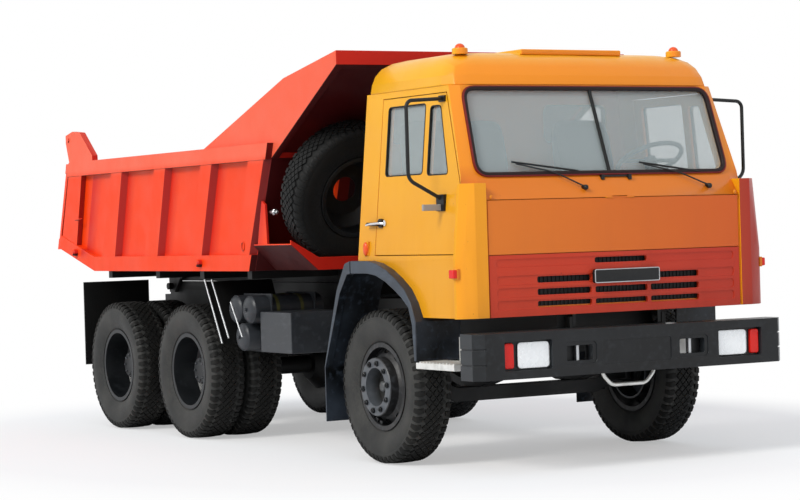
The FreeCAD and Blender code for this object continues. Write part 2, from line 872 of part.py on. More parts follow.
# Springs, driveline and frame equipment
def make_springs():
    """Make the front leaf springs and the bogie springs with their seats."""
    inner = FRAME_HALF - size.spring_width + 5
    outer = FRAME_HALF + 5
    seat = AXLE_HEIGHT - 40
    leaf = side_plate("front_leaf", [
        (-720, FRAME_LOW - 60), (-560, seat + 120), (-120, seat), (120, seat), (560, seat + 120), (720, FRAME_LOW - 60),
        (720, FRAME_LOW), (660, FRAME_LOW), (520, seat + 170), (120, seat + size.spring_thickness),
        (-120, seat + size.spring_thickness), (-520, seat + 170), (-660, FRAME_LOW), (-720, FRAME_LOW),
    ], (inner, outer))
    springs = [leaf]

    middle = size.wheelbase + size.bogie_spacing / 2
    front = size.wheelbase
    rear = size.wheelbase + size.bogie_spacing
    top = AXLE_HEIGHT + size.axle_tube_radius
    stack = side_plate("bogie_leaf", [
        (front - 60, top), (front + 60, top), (middle - 130, top + 60), (middle + 130, top + 60), (rear - 60, top),
        (rear + 60, top), (rear + 60, top + 40), (middle + 130, top + 190), (middle + 130, FRAME_LOW),
        (middle - 130, FRAME_LOW), (middle - 130, top + 190), (front - 60, top + 40),
    ], (FRAME_HALF - 75, FRAME_HALF + 15))
    trunnion = box("trunnion", (FRAME_HALF - 60, FRAME_HALF), (at(middle - 90), at(middle + 90)),
                   (AXLE_HEIGHT - 90, top + 70))
    springs.append(fuse("bogie_spring", [stack, trunnion]))
    keep(group("leaf_springs", springs + [mirror(f"{spring.Name}_mirror", spring) for spring in springs]))


AIR_TANKS = [(1890, 1000), (2115, 1000), (2010, 795)]
AIR_TANK_RADIUS = 102


def make_frame_equipment():
    """Make the fuel tank, battery box, air tanks and mudflaps, and return the tail lamps."""
    tank_centre = (FRAME_HALF + 370, at(1080), 800)
    tank = rod("tank_barrel", "Y", tank_centre, 900, 300)
    hanger = box("tank_hanger", (FRAME_HALF, FRAME_HALF + 130), (at(1200), at(1260)), (700, 1040))
    hanger_rear = box("tank_hanger_rear", (FRAME_HALF, FRAME_HALF + 130), (at(1800), at(1860)), (700, 1040))
    keep(fuse("fuel_tank", [tank, hanger, hanger_rear]))

    case = side_plate("battery_case", [(1290, 985), (1768, 985), (1768, 690), (1290, 690)], (-1110, -640))
    arm = box("battery_arm", (-660, -FRAME_HALF), (at(1440), at(1500)), (850, 930))
    keep(fuse("battery_box", [case, arm]))

    tanks = []
    bores = []
    for number, (station, height) in enumerate(AIR_TANKS):
        tanks.append(rod(f"air_tank_{number}", "X", (-1130, at(station), height), 560, AIR_TANK_RADIUS))
        bores.append(rod(f"air_tank_seat_{number}", "X", (-1150, at(station), height), 600,
                         AIR_TANK_RADIUS + size.fit_gap))
    outline = [(1776, 1112), (2221, 1112), (2221, 960), (2125, 682), (1895, 682), (1776, 960)]
    carrier = cut("air_tank_carrier", fuse("air_tank_plates", [
        side_plate("air_plate_outer", outline, (-1010, -998)), side_plate("air_plate_inner", outline, (-652, -640)),
        rod("air_tank_bar", "X", (-1010, at(2004), 925), 1010 - FRAME_HALF, 22)]), bores)
    keep(group("air_tanks", tanks + [carrier]))

    flap = side_plate("middle_flap", [(2472, 1205), (2486, 1205), (2254, 740), (2240, 740)], (-1200, -640))
    arm = box("middle_flap_arm", (-700, -FRAME_HALF), (at(2338), at(2372)), (944, 984))
    flaps = [fuse("middle_mudflap", [flap, arm])]

    guard = box("rear_guard", (-1215, -620), (at(4780), at(4792)), (500, 1190))
    arm = box("rear_guard_arm", (-640, -FRAME_HALF), (at(4766), at(4806)), (960, 1010))
    flaps.append(fuse("rear_mudguard", [guard, arm]))
    keep(group("mudflaps", flaps + [mirror(f"{flap.Name}_mirror", flap) for flap in flaps]))

    lamp = box("tail_lamp", (-1010, -700), (at(4792), at(4850)), (820, 920))
    return both_sides("tail_lamps", lamp)


def make_bumper(tail_lamps):
    """Make the hollow bumper with its recesses, the lamps that sit in it and the steps."""
    half = size.bumper_half
    corner = size.bumper_corner
    face = -size.front_overhang
    back = -size.bumper_return
    shell = plan_plate("bumper_body", [
        (-half, back), (-half, face + corner), (corner - half, face), (half - corner, face),
        (half, face + corner), (half, back)], (size.bumper_low, size.bumper_high))
    wall = size.bumper_wall
    hollow = plan_plate("bumper_hollow", [
        (wall - half, back + 10), (wall - half, face + corner + 5), (corner - half + 6, face + 60),
        (half - corner - 6, face + 60), (half - wall, face + corner + 5), (half - wall, back + 10)],
        (size.bumper_low - 10, size.bumper_high - wall))
    recess = (at(face - 5), at(face + size.lamp_recess))
    pockets = []
    for side, turn in (("left", 1), ("right", -1)):
        ends = sorted((turn * (size.headlamp_in - 8), turn * (size.indicator_out + 8)), key=lambda end: end.value)
        pocket = box(f"lamp_pocket_{side}", tuple(ends), recess, (size.lamp_low - 8, size.lamp_high + 8))
        pockets.append(rounded(f"lamp_pocket_{side}_round", pocket, "Y", size.bumper_round / 2))
        ends = sorted((turn * as_length(316), turn * as_length(571)), key=lambda end: end.value)
        dish = box(f"tow_dish_{side}", tuple(ends), (at(face - 5), at(face + size.bumper_panel_depth)), (672, 818))
        pockets.append(rounded(f"tow_dish_{side}_round", dish, "Y", size.bumper_round * 1.5))
        ends = sorted((turn * as_length(343), turn * as_length(544)), key=lambda end: end.value)
        window = box(f"tow_window_{side}", tuple(ends), (at(face - 5), at(face + 70)), (697, 793))
        pockets.append(rounded(f"tow_window_{side}_round", window, "Y", size.bumper_round / 2))
    plate = box("plate_recess", (-272, 272), (at(face - 5), at(face + size.bumper_panel_depth)), (661, 817))
    pockets.append(rounded("plate_recess_round", plate, "Y", size.bumper_round))
    core = plan_plate("bumper_core", [
        (size.bumper_groove - half, back + 5), (size.bumper_groove - half, face + corner + 4),
        (corner - half + 4, face + size.bumper_groove), (half - corner - 4, face + size.bumper_groove),
        (half - size.bumper_groove, face + corner + 4), (half - size.bumper_groove, back + 5)],
        (size.bumper_low, size.bumper_high))
    band = (size.bumper_high - size.bumper_low) / 3
    bands = []
    for level in (1, 2):
        middle = size.bumper_low + band * level
        for side, x in (("left", half - corner - 8), ("right", -half - 5)):
            bands.append(box(f"band_groove_{level}_{side}", (x, x + corner + 13), (at(face - 5), at(back + 5)),
                             (middle - size.bumper_groove / 2, middle + size.bumper_groove / 2)))
    pockets.append(cut("corner_grooves", fuse("corner_bands", bands), [core]))
    brackets = [box("bumper_bracket_left", (FRAME_HALF - 70, FRAME_HALF), (at(face + 40), at(-size.frame_front - size.end_plate)),
                    (FRAME_LOW + 5, size.bumper_high - wall)),
                box("bumper_bracket_right", (-FRAME_HALF, 70 - FRAME_HALF), (at(face + 40), at(-size.frame_front - size.end_plate)),
                    (FRAME_LOW + 5, size.bumper_high - wall))]
    keep(fuse("bumper", [cut("bumper_shell", shell, [hollow] + pockets)] + brackets))

    y = (at(face + size.lamp_recess - 30), at(face + size.lamp_recess))
    lamp = box("headlamp", (size.headlamp_in, size.headlamp_out), y, (size.lamp_low, size.lamp_high))
    lamps = [both_sides("headlamps", lamp), tail_lamps]
    flash = box("indicator", (size.headlamp_out + size.lamp_gap, size.indicator_out), y,
                (size.lamp_low, size.lamp_high))
    keep(group("lamps", lamps + [both_sides("indicators", flash)]))

    step_y = at(-1230)
    step_top = size.bumper_high - size.bumper_wall
    loop = tube("front_step", [
        (-205, step_y, step_top), (-205, step_y, 592), (-135, step_y, 520), (135, step_y, 520), (205, step_y, 592),
        (205, step_y, step_top)], 12, 32)
    plates = [box("side_step_left", (1000, 1215), (at(-1060), at(-600)), (660, 700)),
              box("side_step_right", (-1215, -1000), (at(-1060), at(-600)), (660, 700))]
    hangers = [box("side_hanger_left", (FRAME_HALF, 1010), (at(-860), at(-800)), (660, 860)),
               box("side_hanger_right", (-1010, -FRAME_HALF), (at(-860), at(-800)), (660, 860))]
    keep(group("steps", [loop, fuse("left_step", [plates[0], hangers[0]]),
                         fuse("right_step", [plates[1], hangers[1]])]))



# Cab
CAB_LEAN = (size.cab_half - size.gutter_half) / (size.gutter_height - size.cab_lean_start)


def side_at(height):
    """Return how far out the cab side stands at a height above the start of its lean."""
    return size.cab_half - (height - size.cab_lean_start) * CAB_LEAN


CAB_TILT = FreeCAD.Rotation(Vector(0, 1, 0), -math.degrees(math.atan(CAB_LEAN.value)))


def leaning_rod(name, out, station, height, length, radius):
    """Make a cylinder that stands parallel to the leaning cab side, at a distance out from it."""
    bar = rod(name, "Z", (side_at(height) + out, at(station), height), length, radius)
    bar.Placement.Rotation = CAB_TILT
    return bar


def leaning_box(name, x, stations, z):
    """Make a block against the leaning cab side, its X limits measured out from the skin."""
    block = box(name, x, (at(stations[0]), at(stations[1])), z)
    bind(block, "Placement.Base.x", side_at(as_length(z[0])) + x[0])
    bind(block, "Placement.Base.z", as_length(z[0]) + (as_length(x[0]) - size.hinge_out) * CAB_LEAN)
    block.Placement.Rotation = CAB_TILT
    return block


HINGE_HEIGHTS = {"low": 1480, "high": 1700}
HINGE_KNUCKLE = 35
HINGE_RADIUS = 11
HINGE_PIN = 5


def shell_hinges():
    """Make the cab's half of each left door hinge, a leaf and a bored knuckle."""
    parts = []
    for name, height in HINGE_HEIGHTS.items():
        front = -size.door_front
        parts.append(leaning_rod(f"hinge_barrel_{name}", size.hinge_out, front, height, HINGE_KNUCKLE, HINGE_RADIUS))
        parts.append(leaning_box(f"hinge_foot_{name}", (-6, 12), (front - 28, front - 9), (height, height + HINGE_KNUCKLE)))
        parts.append(leaning_box(f"hinge_arm_{name}", (7, size.hinge_out + 6), (front - 20, front),
                                 (height, height + HINGE_KNUCKLE)))
    return parts


def door_hinges():
    """Make the door's half of each left door hinge, with the pin that stands in the cab's knuckle."""
    parts = []
    for name, height in HINGE_HEIGHTS.items():
        front = -size.door_front
        base = height + HINGE_KNUCKLE + size.fit_gap
        pair = (base, base + HINGE_KNUCKLE)
        parts.append(leaning_rod(f"door_barrel_{name}", size.hinge_out, front, base, HINGE_KNUCKLE, HINGE_RADIUS))
        parts.append(leaning_rod(f"door_pin_{name}", size.hinge_out, front, as_length(height + 5), 45, HINGE_PIN))
        parts.append(leaning_box(f"door_foot_{name}", (-6, 12), (front + 9, front + 28), pair))
        parts.append(leaning_box(f"door_arm_{name}", (7, size.hinge_out + 6), (front, front + 20), pair))
    return parts


def hinge_bores():
    """Make the holes in the cab's knuckles for the door's pins."""
    return [leaning_rod(f"hinge_bore_{name}", size.hinge_out, -size.door_front, as_length(height - 5),
                        HINGE_KNUCKLE + 10, HINGE_PIN + size.fit_gap) for name, height in HINGE_HEIGHTS.items()]


def cab_ring(side, front_half, front_centre, front_corner, side_front, inset):
    """Return one plan section of the cab, drawn in by an inset all round."""
    corner = front_half - inset / 2
    return [
        (0, inset - front_centre),
        (corner, inset - front_corner),
        (side - inset, inset / 2 - side_front),
        (side - inset, size.cab_rear - inset),
        (inset - side, size.cab_rear - inset),
        (inset - side, inset / 2 - side_front),
        (-corner, inset - front_corner),
    ]


def cab_envelope(name, inset, low, high):
    """Loft the cab's outer form, drawn in by an inset, from a low to a high level."""
    inset = as_length(inset)
    side_front = size.cab_side_front
    lower = (size.cab_front_half, size.cab_front_centre, size.cab_front_corner, side_front)
    rings = [(low, cab_ring(size.cab_half, *lower, inset))]
    if as_length(low).value < size.cab_lean_start.value:
        rings.append((size.cab_lean_start, cab_ring(size.cab_half, *lower, inset)))
    rings.append((size.hood_line, cab_ring(side_at(size.hood_line), *lower, inset)))
    rings.append((size.screen_low, cab_ring(side_at(size.screen_low), size.cab_front_half,
                                            size.screen_low_centre, size.screen_low_corner,
                                            side_front - 25, inset)))
    rings.append((high, cab_ring(side_at(high), size.cab_front_half - 20, size.screen_high_centre,
                                 size.screen_high_corner, side_front - 230, inset)))
    return loft(name, rings)


def cab_skin(name, depth_from, depth_to):
    """Make the layer of the cab's form between two depths below its surface."""
    outer = cab_envelope(name + "_outer", depth_from, size.cab_low, size.gutter_height)
    inner = cab_envelope(name + "_inner", depth_to, size.cab_low - 20, size.gutter_height + 20)
    return cut(name, outer, [inner])


DOOR_OUTLINE = [
    (-size.door_front, size.door_low),
    (-size.door_front, size.screen_low - 56),
    (223 - size.door_front, size.gutter_height - 47),
    (-size.door_rear, size.gutter_height - 47),
    (-size.door_rear, size.door_low),
]
WINDOW_LOW = size.screen_low + 24
WINDOW_HIGH = size.gutter_height - 103
WINDOW_OUTLINE = [(-553, WINDOW_LOW), (-553, WINDOW_HIGH), (-82, WINDOW_HIGH), (-82, WINDOW_LOW)]
QUARTER_OUTLINE = [(-868, WINDOW_LOW - 10), (-737, WINDOW_HIGH - 20), (-614, WINDOW_HIGH - 20), (-614, WINDOW_LOW - 10)]


def screen_form(name):
    """Make the windscreen's rounded outline as a block through the cab's front."""
    low = size.screen_low + 6
    high = size.gutter_height - 27
    block = front_plate(name + "_block", [(-985, low), (985, low), (962, high), (-962, high)], (at(-1300), at(-700)))
    return rounded(name, block, "Y", size.screen_corner)


def rear_window_forms(name, y):
    """Make the rounded outlines of the two rear windows between two Y limits."""
    block = box(name + "_block", (size.rear_window_in, size.rear_window_out), y,
                (size.gutter_height - 334, size.gutter_height - 64))
    pane = rounded(name, block, "Y", size.window_corner * 2)
    return [pane, mirror(name + "_mirror", pane)]


def window_forms(name):
    """Make the rounded outlines of a door's main window and its front quarter."""
    x = (size.cab_half - 250, size.cab_half + 150)
    return [rounded(f"{name}_main", side_plate(f"{name}_main_block", WINDOW_OUTLINE, x), "X", size.window_corner),
            rounded(f"{name}_quarter", side_plate(f"{name}_quarter_block", QUARTER_OUTLINE, x), "X",
                    size.window_corner)]
ARCH_OUTLINE = [
    (300, 1353), (0, 1353), (-120, 1335), (-248, 1293), (-371, 1232), (-471, 1168), (-550, 1080), (-617, 960),
    (-617, 900), (300, 900),
]


def door_prism(name, grow):
    """Loft the door's outline from the inside of its thickness outwards, with a bevelled front edge."""
    x_in = size.gutter_half - 150
    x_out = size.cab_half + 60
    wide = []
    narrow = []
    for index, (station, height) in enumerate(DOOR_OUTLINE):
        front = index < 3
        skin = side_at(height)
        across = station - grow if front else station + grow
        up = height - grow if index in (0, 4) else height + grow
        wide.append((at(across - (x_out - skin)) if front else at(across), up))
        narrow.append((at(across + (skin - x_in)) if front else at(across), up))
    outlines = []
    for number, (x, corners) in enumerate(((x_in, narrow), (x_out, wide))):
        sketch = doc.addObject("Sketcher::SketchObject", f"{name}_edge{number}")
        draw_corners(sketch, corners)
        sketch.Placement.Rotation = FreeCAD.Rotation(0.5, 0.5, 0.5, 0.5)
        bind(sketch, "Placement.Base.x", x)
        outlines.append(sketch)
    prism = doc.addObject("Part::Loft", name)
    prism.Sections = outlines
    prism.Solid = True
    prism.Ruled = True
    return prism


LID_KNUCKLE = as_length(60)


def make_cab_shell():
    """Make the welded shell: skin, floor and pillars with every opening cut."""
    skin = cab_skin("cab_skin", 0, size.cab_wall)
    floor = common("cab_floor", cab_envelope("floor_fill", 2, size.cab_low, size.gutter_height),
                   box("floor_slab", (-1200, 1200), (at(-1300), at(300)), (size.floor_height - 30, size.floor_height)))
    sill = box("front_crossmember", (-900, 900), (at(-1150), at(-1090)), (size.cab_low, size.cab_low + 60))
    sill = common("front_sill", cab_envelope("sill_fill", 2, size.cab_low, size.gutter_height), sill)
    lug = 30
    lugs = [side_plate(f"tilt_lug_{side}", [
        (size.tilt_pivot_station - lug, size.cab_low + 20), (size.tilt_pivot_station - lug, size.tilt_pivot_height - lug),
        (size.tilt_pivot_station + lug, size.tilt_pivot_height - lug), (size.tilt_pivot_station + lug, size.cab_low + 20),
        ], (x, x + size.tilt_lug_out - size.tilt_lug_in))
        for side, x in (("left", size.tilt_lug_in), ("right", -size.tilt_lug_out))]
    pin_hole = rod("tilt_pin_hole", "X", (-400, at(size.tilt_pivot_station), size.tilt_pivot_height), 800,
                   size.tilt_pin_radius)
    shell = fuse("cab_solid", [skin, floor, sill] + lugs)
    lid_pin = (at(4 - size.cab_front_centre), size.lid_pin_height)
    lid_clear = box("lid_knuckle_space", (-LID_KNUCKLE - size.fit_gap, LID_KNUCKLE + size.fit_gap),
                    (at(-1250), at(-1170)), (size.hood_line - 2, size.hood_line + 8))
    gap = size.door_gap
    door = door_prism("door_opening", gap)
    screen = screen_form("screen_opening")
    rear_windows = rear_window_forms("rear_window_opening", (at(size.cab_rear - 122), at(size.cab_rear + 78)))
    half = size.cab_front_half - 4
    lid_hole = common("lid_recess",
                      box("lid_zone", (-half, half), (at(-1300), at(-1060)), (size.grille_line, size.hood_line)),
                      cut("lid_depth", box("lid_block", (-1300, 1300), (at(-1300), at(-900)), (1000, 1800)),
                          [cab_envelope("lid_floor", 28, size.cab_low, size.gutter_height)]))
    grille_hole = box("grille_opening", (-half, half), (at(-1300), at(-1080)), (size.cab_low + 60, size.grille_line))
    grille_rebate = common("grille_recess",
                           box("grille_zone", (-half, half), (at(-1300), at(-1060)),
                               (size.cab_low - 10, size.grille_line)),
                           cut("grille_depth", box("grille_block", (-1300, 1300), (at(-1300), at(-900)), (900, 1800)),
                               [cab_envelope("grille_floor", 28, size.cab_low - 15, size.gutter_height)]))
    arches = [side_plate(f"arch_cut_{side}", ARCH_OUTLINE, (x, x + 400)) for side, x in (("left", 850), ("right", -1250))]
    bay = box("engine_bay", (-850, 850), (at(-1060), at(300)), (size.cab_low - 20, size.floor_height - 30))
    body = cut("cab_body", shell, [door, mirror("door_opening_right", door), screen, *rear_windows, lid_hole,
                                   grille_hole, grille_rebate, pin_hole, bay, lid_clear] + arches)
    hinge = [rod("lid_pin", "X", (-LID_KNUCKLE - 50, *lid_pin), 2 * LID_KNUCKLE + 100, size.lid_pin_radius)]
    for side, x in (("left", LID_KNUCKLE + size.fit_gap), ("right", -LID_KNUCKLE - size.fit_gap - 50)):
        hinge.append(rod(f"lid_barrel_{side}", "X", (x, *lid_pin), 50, size.lid_barrel_radius))
        hinge.append(box(f"lid_strap_{side}", (x, x + 50), (lid_pin[0] - 3, lid_pin[0] + 25),
                         (size.lid_pin_height + 1, size.hood_line + 5)))
    left = cut("shell_hinges", fuse("shell_hinge_forms", shell_hinges()), hinge_bores())
    keep(fuse("cab_shell", [body, left, mirror("shell_hinges_right", left)] + hinge))


def make_doors():
    """Make each door as thick as the cab wall, with its two windows, and its glass."""
    skin = cab_skin("door_skin", 0, size.cab_wall)
    blank = common("door_blank", skin, door_prism("door_form", 0))
    windows = window_forms("door_window")
    door = fuse("door_left", [cut("door_panel", blank, windows)] + door_hinges())
    keep(door)
    keep(mirror("door_right", door))
    layer = cab_skin("glass_layer", 16, 16 + size.glass_thickness)
    glass = common("door_glass_left", layer, fuse("window_forms", windows))
    keep(glass)
    keep(mirror("door_glass_right", glass))


def make_front_panels():
    """Make the grille panel with its slots and the service lid above it."""
    half = size.cab_front_half - 4 - size.panel_gap
    layer = cab_skin("front_layer", 0, 22)
    lid_zone = box("lid_form", (-half, half), (at(-1300), at(-1060)),
                   (size.grille_line + size.panel_gap, size.hood_line - size.panel_gap))
    lid_blank = common("lid_blank", layer, lid_zone)
    lid_pin = (at(4 - size.cab_front_centre), size.lid_pin_height)
    knuckle = rod("lid_knuckle", "X", (-LID_KNUCKLE, *lid_pin), 2 * LID_KNUCKLE, size.lid_barrel_radius)
    leaf = box("lid_leaf", (-LID_KNUCKLE, LID_KNUCKLE), (lid_pin[0] - 2, lid_pin[0] + 14),
               (size.lid_pin_height - 14, size.lid_pin_height - 1))
    bore = rod("lid_pin_bore", "X", (-2 * LID_KNUCKLE, *lid_pin), 4 * LID_KNUCKLE, size.lid_pin_radius + size.fit_gap)
    reliefs = [box(f"lid_relief_{side}", (x, x + 51), (at(-1250), at(-1170)),
                   (size.lid_pin_height - size.lid_barrel_radius - 1, size.hood_line))
               for side, x in (("left", LID_KNUCKLE), ("right", -LID_KNUCKLE - 51))]
    lid_blank = cut("lid_relieved", lid_blank, reliefs)
    keep(cut("service_lid", fuse("lid_hinged", [lid_blank, knuckle, leaf]), [bore]))
    layer = cab_skin("grille_layer", 0, 27)
    zone = box("grille_form", (-half, half), (at(-1300), at(-1060)), (size.cab_low, size.grille_line))
    deep = (at(-1300), at(-1000))
    slots = [rounded("slot_top_round", box("slot_top", (-206, 206), deep, (size.grille_line - 68, size.grille_line - 33)),
                     "Y", size.slot_corner)]
    rows = [box("row_top", (-940, 940), deep, (size.grille_line - 78, size.grille_line - 25))]
    for number in range(3):
        low = size.cab_low + 52 + (size.slot_low_height + size.slot_gap) * number
        high = low + size.slot_low_height
        rows.append(box(f"row_{number}", (-940, 940), deep, (low - 10, high + 10)))
        for column, (left, right) in enumerate(((-640, -234), (-206, 206), (234, 640))):
            slots.append(rounded(f"slot_{number}_{column}_round",
                                 box(f"slot_{number}_{column}", (left, right), deep, (low, high)), "Y", size.slot_corner))
    rows = [rounded(f"{row.Name}_round", row, "Y", size.bumper_round) for row in rows]
    relief = cut("grille_relief", fuse("grille_rows", rows), [
        cab_envelope("grille_relief_floor", size.emboss_depth, size.cab_low - 20, size.gutter_height)])
    keep(cut("grille_panel", common("grille_blank", layer, zone), slots + [relief]))

    outer = []
    inner = []
    for height in (size.cab_low, size.cab_lean_start, size.screen_low - 54):
        lean = size.cab_half - side_at(height)
        if height is size.cab_low or height is size.cab_lean_start:
            lean = lean * 0
        outer.append((height, [
            (1004, -1164), (1090, -1163), (1165 - lean, -1140), (1208 - lean, -1104), (1212 - lean, -1082),
            (1176 - lean, -1056), (1004, -1056)]))
        inner.append((height, [
            (1166 - lean, -1050), (1196 - lean, -1084), (1193 - lean, -1100), (1158 - lean, -1130),
            (1090 - lean / 2, -1150), (1085 - lean / 2, -1050)]))
    form = loft("deflector_form", outer)
    deflector = cut("deflector", form, [loft("deflector_void", inner),
                                        cab_envelope("deflector_seat", 0, size.cab_low - 20, size.gutter_height)])
    keep(both_sides("corner_deflectors", deflector))
    return form


# Parts of the roof's rise, with what each draws in at the sides, the front and the rear.
ROOF_CURVE = [
    (0, 8, 0, 0),
    (0.28, -4, 18, 3),
    (0.53, -26, 48, 12),
    (0.73, -62, 92, 32),
    (0.87, -118, 148, 70),
    (0.95, -200, 220, 130),
    (0.99, -320, 300, 200),
    (1, -460, 390, 280),
]


def make_roof():
    """Make the hollow roof with its rounded crown and hatch, and return its marker lamps."""
    rise = size.roof_top - size.roof_hatch_height - size.gutter_height
    levels = [(size.gutter_height + rise * part, out, front, rear) for part, out, front, rear in ROOF_CURVE]

    def ring(out, front, rear, inset):
        half = size.gutter_half + out - inset
        front = front + inset - size.screen_high_centre - 6
        rear = size.cab_rear + 4 - rear - inset
        quarter = [(half * 0.86, front + 14), (half - 48, front + 46), (half, front + 130), (half, rear - 80),
                   (half - 22, rear - 22), (half - 80, rear)]
        return [(0, front)] + quarter + [(-1 * x, y) for x, y in reversed(quarter)]

    outer = loft("roof_outer", [(height, ring(out, front, rear, 0)) for height, out, front, rear in levels])
    inner = loft("roof_inner", [(height - (2 if number == 0 else 32), ring(out, front, rear, 36))
                                for number, (height, out, front, rear) in enumerate(levels)])
    hatch_low = size.roof_top - size.roof_hatch_height - 20
    hatch = box("hatch_lid", (-400, 400), (at(-700), at(-200)), (hatch_low, size.roof_top - size.roof_hatch_height + 16))
    keep(fuse("cab_roof", [cut("roof_skin", outer, [inner]), hatch]))
    lamp = rod("roof_lamp", "Z", (859, at(-674), size.roof_top - 85), 48, 28)
    return both_sides("roof_lamps", cut("roof_lamp_seated", lamp, [
        loft("roof_form", [(height, ring(out, front, rear, 0)) for height, out, front, rear in levels])]))


def make_screens():
    """Make the two-pane windscreen and the rear window glass."""
    layer = cab_skin("screen_layer", 12, 12 + size.glass_thickness)
    strip = box("screen_strip_gap", (-3, 3), (at(-1300), at(-700)), (size.screen_low - 20, size.gutter_height + 20))
    windscreen = common("windscreen", layer, cut("panes", screen_form("pane_form"), [strip]))
    rears = rear_window_forms("rear_window", (at(size.cab_rear - 30), at(size.cab_rear - 30 + size.glass_thickness)))
    keep(group("cab_glass", [windscreen] + rears))


def make_cab_interior():
    """Make the dashboard, the seats and the steering wheel that show through the glass."""
    dash = side_plate("dash_form", [(-1190, 1480), (-1190, 1780), (-990, 1845), (-860, 1860), (-800, 1820),
                                    (-830, 1700), (-900, 1480)], (150 - size.cab_half, size.cab_half - 150))
    room = cab_envelope("dash_room", size.cab_wall + size.fit_gap, size.cab_low, size.gutter_height)
    dash = common("dashboard_fitted", dash, room)
    seats = []
    for name, low, high in (("driver", 330, 830), ("passenger", -900, -60)):
        seats.append(side_plate(f"{name}_seat", [
            (-560, 1500), (-560, 1700), (-520, 1735), (-90, 1700), (30, 2270), (90, 2290), (120, 2250), (60, 1620),
            (-20, 1500)], (low, high)))
        seats.append(box(f"{name}_plinth", (low + 60, high - 60), (at(-480), at(-60)), (size.floor_height, 1500)))
    keep(group("seats", [fuse("driver_seat_whole", seats[:2]), fuse("passenger_seat_whole", seats[2:])]))

    wheel = doc.addObject("Part::Torus", "wheel_rim")
    wheel.Radius1 = 225
    wheel.Radius2 = 16
    hub = doc.addObject("Part::Cylinder", "wheel_hub")
    hub.Radius = 45
    hub.Height = 60
    hub.Placement.Base = Vector(0, 0, -50)
    spoke = doc.addObject("Part::Box", "wheel_spoke")
    spoke.Length = 440
    spoke.Width = 34
    spoke.Height = 12
    spoke.Placement.Base = Vector(-220, -17, -12)
    column = doc.addObject("Part::Cylinder", "wheel_column")
    column.Radius = 28
    column.Height = 330
    column.Placement.Base = Vector(0, 0, -370)
    steer = fuse("steering_wheel", [wheel, hub, spoke, column])
    steer.Placement = FreeCAD.Placement(Vector(620, at(-690).value, 1975), FreeCAD.Rotation(Vector(1, 0, 0), -28))
    keep(fuse("dashboard", [dash, steer]))


def make_cab_trim(roof_lamps, deflector_form):
    """Make the arches, mirror frames, marker lamps and door handles."""
    outer = [(222, 1353), (0, 1353), (-120, 1335), (-248, 1293), (-371, 1232), (-471, 1168), (-550, 1080),
             (-606, 960), (-606, 706)]
    inner = [(-578, 706), (-560, 940), (-520, 1050), (-440, 1110), (-350, 1160), (-235, 1215), (-110, 1255),
             (0, 1268), (222, 1268)]
    liner_inner = [(-592, 706), (-592, 955), (-537, 1072), (-461, 1157), (-363, 1219), (-243, 1279), (-117, 1321),
                   (0, 1339), (222, 1339)]
    lip = side_plate("arch_lip", outer + inner, (1165, 1215))
    liner = side_plate("arch_liner", outer + liner_inner, (870, 1190))
    keep(both_sides("front_arches", fuse("front_arch", [lip, liner])))
    outer = [(229, 1353), (300, 1334), (420, 1154), (618, 631), (618, 255)]
    inner = [(608, 255), (608, 625), (380, 1130), (270, 1262), (229, 1268)]
    liner_inner = [(608, 255), (608, 625), (406, 1148), (290, 1320), (229, 1339)]
    lip = side_plate("rear_lip", outer + inner, (1165, 1215))
    liner = side_plate("rear_liner", outer + liner_inner, (870, 1190))
    arm = box("rear_arch_arm", (FRAME_HALF, 900), (at(512), at(548)), (900, 940))
    keep(both_sides("rear_arches", fuse("rear_arch", [lip, liner, arm])))

    y = at(-700).value
    frame = tube("mirror_tube", [
        (1056, y - 60, 2382), (1344, y - 90, 2366), (1344, y - 90, 1868), (1128, y - 120, 1745)], 12, 45)
    plate = box("mirror_plate", (1080, 1134), (at(-865), at(-775)), (1664, 1770))
    foot = box("mirror_foot", (1030, 1064), (at(-795), at(-725)), (2362, 2402))
    skin = cab_envelope("trim_seat", 0, size.cab_low - 20, size.gutter_height)

    lamp = cut("side_marker", box("side_marker_block", (1150, 1240), (at(-1130), at(-1060)), (1202, 1332)),
               [deflector_form])
    rear = cut("rear_marker", box("rear_marker_block", (1100, 1162), (at(80), at(130)), (1380, 1480)), [skin])
    keep(group("cab_lamps", [roof_lamps, both_sides("side_markers", lamp), both_sides("rear_markers", rear)]))

    handle = fuse("handle", [
        box("handle_bar", (1136, 1160), (at(-60), at(80)), (1583, 1607)),
        rod("handle_boss", "X", (1090, at(-72), 1600), 56, 30)])
    fittings = keep(cut("door_fittings_left", group("fittings_form", [fuse("mirror_one", [frame, plate, foot]), handle]),
                        [skin]))
    keep(mirror("door_fittings_right", fittings))


# Bed
FLOOR_TOP = size.bed_low + size.bed_wall

# The hoist's two pins are equally far from the bed's pivot, so the hoist swings by half the bed's angle.
PIVOT_REACH = size.tip_pivot_station - size.hoist_station
PIVOT_DROP = size.tip_pivot_height - size.hoist_pivot_height
PIVOT_RISE = size.hoist_eye_height - size.tip_pivot_height
HOIST_EYE_STATION = size.tip_pivot_station - root(
    PIVOT_REACH * PIVOT_REACH + PIVOT_DROP * PIVOT_DROP - PIVOT_RISE * PIVOT_RISE)


